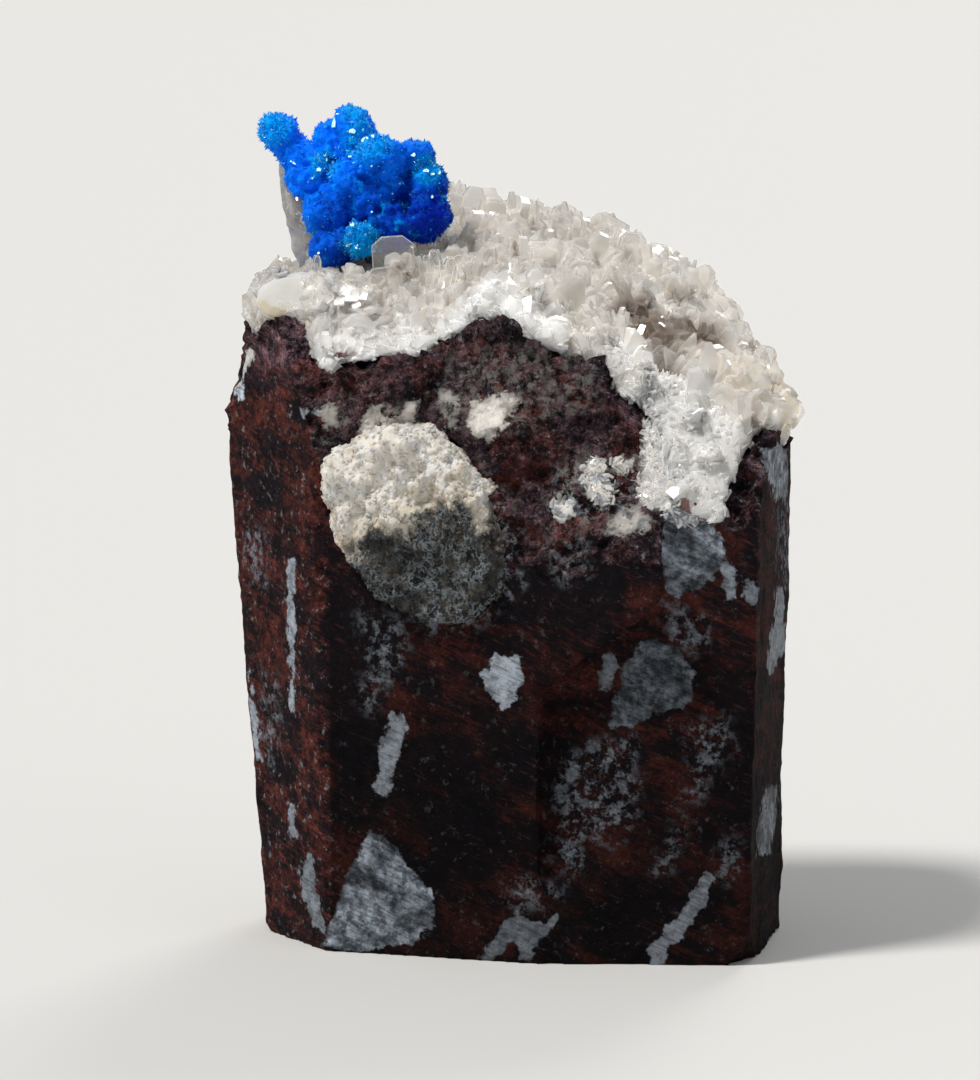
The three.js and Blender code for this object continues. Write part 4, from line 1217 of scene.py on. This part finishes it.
# %% The crystals of the crust
THIN = (0.18, 0.45)
CRYSTALS = [
    # name, ground, where, number, sheaves, lengths and widths (mm), depth as a share of the width, stray,
    # then the material: its name, how clear, how milky, roughness
    ("zeolite_blades", crust, blade_share, 3000, 320, (1.2, 2.7), (0.6, 1.75), THIN, 0.2,
     "milky_blade", 0.6, 0.8, 0.12),
    ("zeolite_chunks", crust, blade_share, 360, 360, (1.6, 2.9), (1.3, 2.4), (0.25, 0.4), 0.35,
     "milky_chunk", 0.6, 0.8, 0.12),
    ("shoulder_columns", crust, shoulder_share, 90, 12, (2.2, 3.6), (0.9, 1.7), (0.4, 0.8), 0.08,
     "column", 0.6, 0.8, 0.12),
    ("fine_crystals", crust, sugar_share, 1100, 400, (0.5, 0.9), (0.2, 0.55), THIN, 0.6,
     "fine_crystal", 0.2, 0.8, 0.12),
    ("foot_crystals", block, foot_share, 900, 300, (0.35, 0.8), (0.2, 0.5), THIN, 0.7,
     "foot_crystal", 0.2, 0.8, 0.12),
    # Blades in the hollow, whose brown is partly painted shade.
    ("smoky_blades", crust, smoky_share, 110, 26, (1.3, 2.6), (0.7, 1.5), THIN, 0.2,
     "smoky_blade", 0.7, 0.0, 0.05),
    ("tall_blade_flakes", crust, tall_blade_share, 90, 40, (0.7, 1.5), (0.4, 1.0), THIN, 0.5,
     "clear_flake", 0.7, 0.0, 0.05),
]
for name, ground, share, number, sheaves, lengths, widths, thick, stray, *finish in CRYSTALS:
    crystals = sheaf_blades(ground, name, share, number, sheaves, lengths, widths, thick, stray)
    finish_crystals(crystals, blade_material(*finish))

# %% [markdown]
# ## The crystals that stand out
# Clear coffin-shaped plates rise in front of the blue balls. They could be modelled one by one, but each
# stands on the crust below it, so only its place, top, width and turn are given, and a ray finds the crust.

# %% Standing plates
SINK = 0.5


def height_at(piece, x, y):
    """The top of a piece over this place, in millimetres."""
    hit, where, _, _ = piece.ray_cast(Vector((x, y, 100)) * MM, Vector((0, 0, -1)))
    return where.z / MM if hit else 0.0


def stand(piece, rows, name):
    """Stands plates on a piece, one for each row, with their feet a little below its surface."""
    x, y, top, width, depth, heading, tilt = np.array(rows, float).T
    foot = np.array([height_at(piece, *spot) for spot in zip(x, y)]) - SINK
    turns, tilts = np.radians(heading), np.radians(tilt)
    heads = np.column_stack([np.cos(turns), np.sin(turns), np.zeros(len(rows))])
    ups = unit(np.column_stack([np.sin(tilts), -0.10 * np.ones(len(rows)), np.cos(tilts)]))
    sizes = np.column_stack([width, depth, np.maximum(top - foot, 0.8)])
    return many(name, plates[:1], np.column_stack([x, y, foot]), ups, heads, sizes, blade_draw)


show_plates = stand(crust, SHOW_PLATES, "show_plates")
print("standing plates:", len(SHOW_PLATES))

# %% [markdown]
# A clear plate is hard to see but for its edges, which catch the light. A brighter material would make all of
# it white, so its edges get a painted highlight of their own: a thin pale frame, a copy of the plates turned
# into wires.

# %% Painted highlights on the edges of the clear plates
EDGE_WIDTH = 0.045
painted_edge_highlights = bpy.data.objects.new("show_plate_edges", show_plates.data.copy())
bpy.context.collection.objects.link(painted_edge_highlights)
modify(painted_edge_highlights, "WIREFRAME", thickness=EDGE_WIDTH * MM, use_even_offset=False)
print("edges:", len(painted_edge_highlights.data.polygons), "faces")

# %% [markdown]
# White pearly faces lie back against the crust, where they mirror the lamp. Turned by hand, most of them
# would miss it. So each looks halfway between the lamp and the eye, give or take a few degrees, and a ray
# along the line of sight finds its place.

# %% Faces that lie back
GLINT = Vector((-0.28, -0.73, 0.62)).normalized()  # a face that looks this way mirrors the key light
PEARLY_FACES = [
    # x and height in the plane y = 0 along the line of sight, width, length (mm), how it turns and tips
    (0.9, 43.4, 1.8, 2.0, 0, 0), (-11.0, 44.2, 1.3, 0.9, 2, -2), (-10.3, 43.9, 1.0, 1.1, -3, 4),
    (-9.7, 43.8, 0.8, 0.6, 4, 2), (-11.2, 43.4, 0.8, 0.7, -2, -4), (-10.1, 43.2, 0.6, 0.6, 3, 0),
    (-1.0, 47.2, 1.0, 0.9, 3, 5), (2.4, 49.5, 0.8, 0.7, -3, 0), (6.2, 48.8, 0.9, 0.9, 0, -3),
    (10.2, 47.5, 0.6, 0.5, 2, 0), (3.6, 49.0, 0.7, 0.8, 5, 0), (11.6, 41.6, 1.1, 0.5, 0, 4),
    (14.3, 42.3, 1.1, 0.5, -5, 0), (0.1, 45.7, 0.5, 1.2, 3, 0), (2.1, 45.7, 0.4, 1.3, 5, 0),
    (13.4, 39.0, 0.4, 1.3, 4, -3), (-4.2, 44.6, 0.4, 1.2, 3, 0), (-2.2, 44.0, 0.5, 0.9, 0, 4),
    (11.1, 30.4, 0.8, 0.8, 0, 0),
]


def lay_back(piece, rows, name, draw, depth, proud, templates):
    """Lays plates on the front of a piece so that their broad faces glint, one for each row that meets it."""
    middles, looks, sizes = [], [], []
    for x, z, width, length, aside, tip in rows:
        start = Vector((x, 0, z)) * MM + DISTANCE * toward_camera
        hit, where, _, _ = piece.ray_cast(start, -toward_camera)
        if hit:
            look = Euler((math.radians(tip), 0, math.radians(aside))).to_matrix() @ GLINT
            middles.append(where / MM + proud * look)
            looks.append(look)
            sizes.append((width, depth, length))
    middles, looks, sizes = np.array(middles), np.array(looks), np.array(sizes)
    ups = unit(np.array([0, 0, 1.0]) - looks[:, 2:] * looks)
    ups = unit(ups + draw.normal(0, 0.35, (len(ups), 1)) * np.cross(looks, ups))
    roots = middles - 0.5 * sizes[:, 2:] * ups - 0.5 * depth * looks
    return many(name, templates, roots, ups, np.cross(looks, ups), sizes, draw)


pearly = lay_back(crust, PEARLY_FACES, "pearly_faces", blade_draw, 0.15, 0.25, plates[:2])
print("faces that lie back:", len(PEARLY_FACES))

# %% [markdown]
# Two crystals are too large for a template: the tall grey blade behind the balls and the milky block in the
# left corner. Each is drawn as an outline, thickened, chamfered and made a little uneven, which is quicker
# than cutting it from a cube. Small crystals grew over the right half and the foot of the block.

# %% The tall blade and the block in the corner
TALL_BLADE = [
    (-15.65, 52.9), (-14.0, 53.4), (-11.4, 53.4), (-10.4, 52.4), (-10.4, 44.6), (-13.4, 44.6), (-14.0, 45.6),
    (-14.7, 47.0), (-15.1, 48.7), (-15.5, 50.4),
]
CORNER_BLOCK = [
    (-17.0, 44.4), (-16.1, 45.5), (-13.9, 46.1), (-12.0, 45.9), (-11.3, 44.9), (-12.4, 42.8), (-14.4, 42.6),
    (-16.0, 43.0), (-16.7, 43.6),
]


def slab(name, outline, y, thickness, chamfer, relief, lean):
    """A crystal with this outline in x and z, thickened about y, chamfered and made a little uneven.

    Its top leans back by some degrees about its lower edge.
    """
    mesh = bpy.data.meshes.new(name)
    mesh.from_pydata([(x * MM, y * MM, z * MM) for x, z in outline], [], [range(len(outline))])
    piece = bpy.data.objects.new(name, mesh)
    bpy.context.collection.objects.link(piece)
    modify(piece, "SOLIDIFY", thickness=thickness * MM, offset=0)
    modify(piece, "BEVEL", width=chamfer * MM, segments=1)
    modify(piece, "TRIANGULATE")
    modify(piece, "SUBSURF", subdivision_type="SIMPLE", levels=3, render_levels=3)
    roughen(piece, 1.3, relief)
    foot = Vector((0, y, min(z for _, z in outline))) * MM
    select_parts(piece, "VERT", lambda corner: True)
    bpy.ops.transform.rotate(value=math.radians(lean), orient_axis="X", center_override=foot)
    bpy.ops.object.mode_set(mode="OBJECT")
    record(piece, "shade", np.ones(len(piece.data.vertices)))
    return piece


def overgrown_share(points, directions):
    """1 on the right half and the foot of the block in the corner, where smaller crystals grew over it."""
    side = smooth_step(points[:, 0], -14.6, -13.2)
    bottom = smooth_step(-points[:, 2], -44.2, -43.4) * (points[:, 0] > -15.4)
    return np.maximum(side, bottom) * (directions[:, 1] < 0.2)


tall_blade = slab("tall_blade", TALL_BLADE, y=4.1, thickness=0.6, chamfer=0.12, relief=0.4, lean=10)
corner_block = slab("corner_block", CORNER_BLOCK, y=-4.2, thickness=1.7, chamfer=0.45, relief=0.12, lean=28)
overgrowth = sheaf_blades(corner_block, "corner_blades", overgrown_share, 70, 20, (0.8, 1.5), (0.5, 1.1),
                          THIN, 0.5)
print("corner:", len(overgrowth.data.polygons), "faces of small crystals")

# %% [markdown]
# The large crystals share the blade material. A material for each would repeat the same nodes, so only the
# numbers differ: clear plates with pale edges that are painted highlights, opaque pearly faces, a veined tall
# blade, and a milky block with clearer crystals on it. Only the tall blade and the block are thick enough to
# throw a shadow.

# %% Finishes of the large crystals
FINISHES = [
    # piece, clear, milky, roughness, least white, veined, whether it throws a shadow
    (show_plates, 0.88, 0.5, 0.03, 1.0, False, False),
    # The pale frame on the plates' edges is a painted highlight.
    (painted_edge_highlights, 0.3, 0.5, 0.10, 1.0, False, False),
    (pearly, 0.0, 0.5, 0.22, 1.0, False, False),
    (tall_blade, 0.60, 0.8, 0.08, 1.0, True, True),
    (corner_block, 0.2, 0.7, 0.08, 0.75, False, True),
    (overgrowth, 0.6, 0.8, 0.06, 0.6, False, False),
]
for piece, *finish, shadow in FINISHES:
    finish_crystals(piece, blade_material(piece.name, *finish), shadow)

# %% [markdown]
# ## The cavansite
# Cavansite grows as balls of thin blue blades that radiate from a point. From arm's length the balls look
# like velvet. Needles alone would leave holes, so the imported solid, smoothed and roughened, is their core. A
# few balls more fill the gaps that the smoothing opens.

# %% Core of the blue balls
BALL_CELL = 0.14
BALL_FILLERS = [((-10.6, 2.6, 51.6), 1.9), ((-13.8, 3.3, 53.2), 1.25), ((-15.6, 3.6, 55.0), 1.35),
                ((-10.6, 2.8, 55.3), 1.45), ((-11.9, 1.2, 47.2), 1.5)]
ball_core = welded_copy("cavansite_cluster", "cavansite_balls")
for centre, radius in BALL_FILLERS:
    bpy.ops.object.select_all(action="DESELECT")
    bpy.ops.mesh.primitive_ico_sphere_add(subdivisions=3, radius=radius * MM, location=Vector(centre) * MM)
    filler = bpy.context.object
    only(ball_core, filler)
    bpy.ops.object.join()
modify(ball_core, "REMESH", mode="VOXEL", voxel_size=BALL_CELL * MM)
modify(ball_core, "SMOOTH", factor=0.6, iterations=12)
roughen(ball_core, 1.5, 0.8)
roughen(ball_core, 0.6, 0.5)
print("balls:", len(ball_core.data.polygons), "faces")

# %% [markdown]
# Hair would give the velvet too, but the velvet must be a mesh that can be exported. So thousands of short
# needles stand all over the core and point away from the middle of their ball, with broader blades where the
# cluster is bright.
# A few single faces mirror the lamp and are painted pale cyan as highlights, where the eye expects a sparkle.

# %% Needles and blades
NEEDLES = 19000
BLUE_BLADES = 1500
# Spots where the cluster shines: the tips there are painted cyan and pale as highlights.
HIGHLIGHT_SPOTS = [((-9.9, -0.6, 47.9), 1.5), ((-9.4, 1.0, 54.6), 1.8), ((-5.4, 1.4, 52.6), 1.1),
                ((-15.9, 3.0, 55.3), 1.3), ((-12.5, 1.4, 52.9), 1.1), ((-10.4, 2.2, 56.2), 1.0)]
GLINTS = [
    # x and height in the plane y = 0 along the line of sight, width and length of the faces (mm)
    (-11.7, 55.9, 0.25, 0.8), (-10.4, 55.3, 0.45, 0.4), (-9.6, 54.7, 0.5, 0.3), (-9.0, 54.9, 0.25, 0.2),
    (-10.0, 54.5, 0.3, 0.2), (-12.3, 53.4, 0.35, 0.3), (-12.7, 52.7, 0.3, 0.3), (-10.6, 53.6, 0.25, 0.25),
    (-9.1, 52.8, 0.15, 0.15), (-6.3, 53.7, 0.35, 0.3), (-5.4, 52.6, 0.4, 0.25), (-5.0, 52.4, 0.3, 0.3),
    (-4.5, 52.5, 0.15, 0.35), (-5.0, 50.8, 0.15, 0.25), (-7.2, 51.7, 0.14, 0.14), (-7.7, 51.0, 0.14, 0.14),
    (-9.1, 49.7, 0.14, 0.14), (-9.6, 49.1, 0.2, 0.25), (-10.4, 48.8, 0.25, 0.3), (-10.7, 47.4, 0.25, 0.2),
    (-10.1, 47.2, 0.2, 0.15), (-12.7, 46.9, 0.14, 0.22), (-13.2, 52.1, 0.16, 0.16), (-14.1, 49.5, 0.12, 0.3),
    (-14.5, 53.2, 0.5, 0.14), (-11.4, 56.5, 0.3, 0.16),
]
needle_draw = np.random.default_rng(77)
ball_centres = np.array([centre for centre, _ in BALLS])
ball_radii = np.array([radius for _, radius in BALLS])


def from_ball(points):
    """The direction from the ball that each point belongs to."""
    gaps = np.linalg.norm(points[:, None] - ball_centres[None], axis=2) - ball_radii[None]
    return unit(points - ball_centres[np.argmin(gaps, axis=1)])


def even_share(points, _):
    return np.ones(len(points))


def tuft_share(points, _):
    """Mostly where the cluster is bright, and a few everywhere else."""
    return 0.12 + region(points, HIGHLIGHT_SPOTS)


def spray(name, template, count, share, length, width, flat, stray):
    """Crystals that radiate from the balls. Flat is the depth of one as a share of its width."""
    roots, faces = scattered(ball_core, count, share, needle_draw)
    ups = unit(0.7 * from_ball(roots) + 0.5 * faces + needle_draw.normal(0, stray, roots.shape))
    tall = needle_draw.uniform(*length, count)
    wide = needle_draw.uniform(*width, count)
    sizes = np.stack([wide, flat * wide, tall], axis=1)
    heads = needle_draw.normal(0, 1, roots.shape)
    return many(name, [template], roots - 0.5 * tall[:, None] * ups, ups, heads, sizes, needle_draw)


upright = [(*row, 0, 0) for row in GLINTS]
# Faces that mirror the lamp, coloured pale cyan as painted highlights.
glints = lay_back(ball_core, upright, "cavansite_glints", needle_draw, 0.06, 0.15, plates[1:])
needles = spray("cavansite_needles", needle, NEEDLES, even_share, (0.16, 0.38), (0.06, 0.12), 0.5, 0.15)
blue_blades = spray("cavansite_blades", plates[2], BLUE_BLADES, tuft_share, (0.34, 0.60), (0.14, 0.28),
                    0.3, 0.30)
print("needles:", NEEDLES, "blades:", BLUE_BLADES, "single faces:", len(GLINTS))

# %% [markdown]
# The blue is deep and pure, and it needs no texture of its own. It goes from azure on top and at the left to
# ultramarine below, which is painted light and shade. The tips of some needles are cyan, partly because a
# thin needle holds less colour than a thick ball and partly as painted highlights. Some light is scattered
# inside, which keeps the shaded side blue and not black.

# %% Cavansite material
AZURE = (0.0005, 0.19, 1.0, 1)
ULTRAMARINE = (0.0003, 0.016, 0.38, 1)
CYAN = (0.0, 0.48, 1.0, 1)
# The pale cyan of painted highlights, on tips and glint faces.
HIGHLIGHT_CYAN = (0.35, 0.92, 1.0, 1)
GLINT_CYAN = (0.55, 0.95, 1.0, 1)


def blue_with_painted_light(tree, tips):
    """Cavansite blue with painted light and shade: azure on top and to the left, deeper below, with cyan tips.
    """
    where = object_place(tree)
    across, up = x_and_z(tree, where)
    # Painted light and shade: lighter where the lamp falls, on top and to the left, darker below.
    lean = minus(tree, times(tree, up, 0.7), times(tree, across, 0.55))
    lean = plus(tree, lean, off_middle(tree, noise(tree, where, 1.6), 9 * MM))
    colour = mixed(tree, between(tree, lean, 37.5 * MM, 43.5 * MM), ULTRAMARINE, AZURE)
    return mixed(tree, tips, colour, CYAN)


def cavansite_material(name, is_crystal, roughness=0.45, shine=0.05):
    """The blue of the core or of its crystals. Cyan tips are partly painted highlights, pale tips wholly."""
    material, tree, shader = new_material(name)
    where = object_place(tree)
    painted_highlight = read(tree, "painted_highlight")
    tips = between(tree, noise(tree, where, 0.9, detail=3), 0.56, 0.70, 0.0, 0.5)
    # More cyan at the highlight spots, a painted highlight.
    tips = plus(tree, tips, times(tree, painted_highlight, 0.6))
    if is_crystal:
        along, shade = read(tree, "along"), read(tree, "shade")
        cyan = times(tree, between(tree, along, 0.6, 1.0), between(tree, shade, 0.55, 0.95))
        tips = plus(tree, tips, cyan)
    colour = blue_with_painted_light(tree, tips)
    if is_crystal:
        # Pale tips at the highlight spots are painted highlights.
        pale = times(tree, between(tree, along, 0.5, 1.0), between(tree, shade, 0.80, 0.92))
        pale = times(tree, pale, between(tree, painted_highlight, 0, 1, 0.15, 1.0))
        colour = mixed(tree, pale, colour, HIGHLIGHT_CYAN)
    feed(tree, shader.inputs["Base Color"], colour)
    shader.inputs["Roughness"].default_value = roughness
    shader.inputs["Specular IOR Level"].default_value = shine
    shader.inputs["Subsurface Weight"].default_value = 0.3
    shader.inputs["Subsurface Radius"].default_value = (0.1, 0.5, 1.0)
    shader.inputs["Subsurface Scale"].default_value = 0.6 * MM
    bump(tree, shader, noise(tree, where, 0.12, detail=3), 0.05)
    return material


# Pale cyan faces that stand in for sparkles: a painted highlight.
def painted_glint_material():
    material, tree, shader = new_material("cavansite_painted_glint")
    cloudy = between(tree, noise(tree, object_place(tree), 0.3, detail=3), 0.45, 0.65)
    feed(tree, shader.inputs["Base Color"], mixed(tree, cloudy, GLINT_CYAN, HIGHLIGHT_CYAN))
    shader.inputs["Roughness"].default_value = 0.15
    return material


for piece in (ball_core, needles, blue_blades):
    record(piece, "painted_highlight", region(corners(piece), HIGHLIGHT_SPOTS))
glints.data.materials.append(painted_glint_material())
ball_core.data.materials.append(cavansite_material("cavansite_core", False))
needles.data.materials.append(cavansite_material("cavansite_needle", True))
blue_blades.data.materials.append(cavansite_material("cavansite_blade", True, roughness=0.14, shine=0.5))
place(ball_core, "cavansite_blue", "cavansite_cluster")
place(needles, "cavansite_blue")
place(blue_blades, "cavansite_blue")
place(glints, "cavansite_blue")

# %% [markdown]
# ## The nodule
# A lump of granular zeolite sits in the front of the rock, cream and chalky above, grey and glassy below. It
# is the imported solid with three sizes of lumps, which are strongest on the cream part. The sugary grains on
# it are too sharp to come from displacement, so they are small copies of the plates.

# %% Nodule: lumps and grains
NODULE_CELL = 0.2
GRAINS = 1500
GRAIN_SIZES = (0.10, 0.26)
CREAM_PART = [
    (-13.6, 31.8), (-12.7, 34.1), (-10.4, 36.1), (-7.2, 38.1), (-3.6, 36.4), (-1.4, 34.0), (0.2, 31.5),
    (1.0, 29.1), (-0.1, 28.7), (-1.6, 30.7), (-2.8, 32.2), (-4.4, 31.3), (-6.3, 31.0), (-7.2, 30.0),
    (-9.0, 29.8), (-10.4, 28.4), (-12.4, 27.4),
]
grain_draw = np.random.default_rng(9)


def to_cream(piece):
    """How far each corner is from the cream part of the nodule, and less than nothing inside it."""
    return front_spots(corners(piece), [(1.0, CREAM_PART)])[0]


def grain_share(_, directions):
    return (directions[:, 1] < 0.3) * 1.0


nodule = welded_copy("front_nodule", "front_nodule_lump")
modify(nodule, "REMESH", mode="VOXEL", voxel_size=NODULE_CELL * MM)
modify(nodule, "SMOOTH", factor=0.5, iterations=4)
modify(nodule, "DISPLACE", strength=0.4 * MM, mid_level=0)
mark(nodule, "broken_part", 0.4 + 0.6 * (1 - smooth_step(to_cream(nodule), -0.5, 2.0)))
for size, height in ((3.6, 3.4), (1.5, 1.1), (0.7, 0.3)):
    roughen(nodule, size, height, group="broken_part")
roughen(nodule, 0.45, 0.2, depth=1)

roots, faces = scattered(nodule, GRAINS, grain_share, grain_draw)
ups = unit(faces + grain_draw.normal(0, 0.5, roots.shape))
sizes = grain_draw.uniform(*GRAIN_SIZES, (GRAINS, 1)) * grain_draw.uniform(0.5, 1.6, (GRAINS, 3))
heads = grain_draw.normal(0, 1, roots.shape)
grains = many("nodule_grains", plates, roots - 0.5 * sizes[:, 2:] * ups, ups, heads, sizes, grain_draw)
print("nodule:", len(nodule.data.polygons), "faces,", GRAINS, "grains")

# %% [markdown]
# The cream part ends in a ragged line, so its border is the distance to an outline plus strong noise. The
# dark part holds a net of pale fibres. Drawn lines would look stiff, so the fibres run where noise passes its
# middle value, which makes thin lines that wander.

# %% Nodule material
NODULE_CREAM = (0.89, 0.84, 0.76, 1)
HONEY_SHADE = (0.55, 0.42, 0.24, 1)
OLIVE = (0.040, 0.033, 0.022, 1)
NODULE_DARK = (0.007, 0.007, 0.0075, 1)
NET_WHITE = (0.20, 0.23, 0.25, 1)


def fibres(tree, where, size, width):
    """Thin wandering lines, where noise of this size passes its middle value."""
    swing = minus(tree, noise(tree, where, size, detail=6, roughness=0.6), 0.5)
    return between(tree, maths(tree, "ABSOLUTE", swing), 0.2 * width, width, 1.0, 0.0)


def nodule_material(name, roughness, clear):
    material, tree, shader = new_material(name)
    where = object_place(tree)
    net = larger(tree, fibres(tree, where, 1.5, 0.035), fibres(tree, where, 0.8, 0.040))
    net = times(tree, net, between(tree, noise(tree, where, 1.9, detail=4), 0.40, 0.60, 0.1, 0.9))
    fluff = between(tree, noise(tree, where, 0.6, detail=8, roughness=0.8), 0.52, 0.70, 0.0, 0.25)
    dark = mixed(tree, between(tree, noise(tree, where, 1.0, detail=4), 0.42, 0.62), NODULE_DARK, OLIVE)
    dark = mixed(tree, larger(tree, net, fluff), dark, NET_WHITE)
    ragged = off_middle(tree, noise(tree, where, 2.4, detail=8, roughness=0.72), 8.0)
    edge = plus(tree, read(tree, "cream_edge"), ragged)
    cream = mixed(tree, between(tree, noise(tree, where, 1.1, detail=4), 0.46, 0.64), NODULE_CREAM, SNOW)
    honey = between(tree, noise(tree, where, 0.9, detail=3), 0.56, 0.70, 0.0, 0.4)
    cream = mixed(tree, honey, cream, HONEY_SHADE)
    cream = mixed(tree, between(tree, edge, -1.4, 0.3, 0.0, 0.45), cream, HONEY_SHADE)
    feed(tree, shader.inputs["Base Color"], mixed(tree, between(tree, edge, -0.3, 1.3), cream, dark))
    feed(tree, shader.inputs["Roughness"], between(tree, edge, 0.0, 1.1, roughness, 0.22))
    shader.inputs["Specular IOR Level"].default_value = 0.3
    shader.inputs["Transmission Weight"].default_value = clear
    shader.inputs["Subsurface Weight"].default_value = 0.4
    shader.inputs["Subsurface Radius"].default_value = (1.0, 0.85, 0.65)
    shader.inputs["Subsurface Scale"].default_value = 0.5 * MM
    bump(tree, shader, noise(tree, where, 0.25, detail=5, roughness=0.75), 0.16)
    return material


for piece in (nodule, grains):
    record(piece, "cream_edge", to_cream(piece))
nodule.data.materials.append(nodule_material("nodule_lump", 0.6, 0.0))
grains.data.materials.append(nodule_material("nodule_grain", 0.3, 0.2))
place(nodule, "zeolite_massive", "front_nodule")
place(grains, "zeolite_massive")
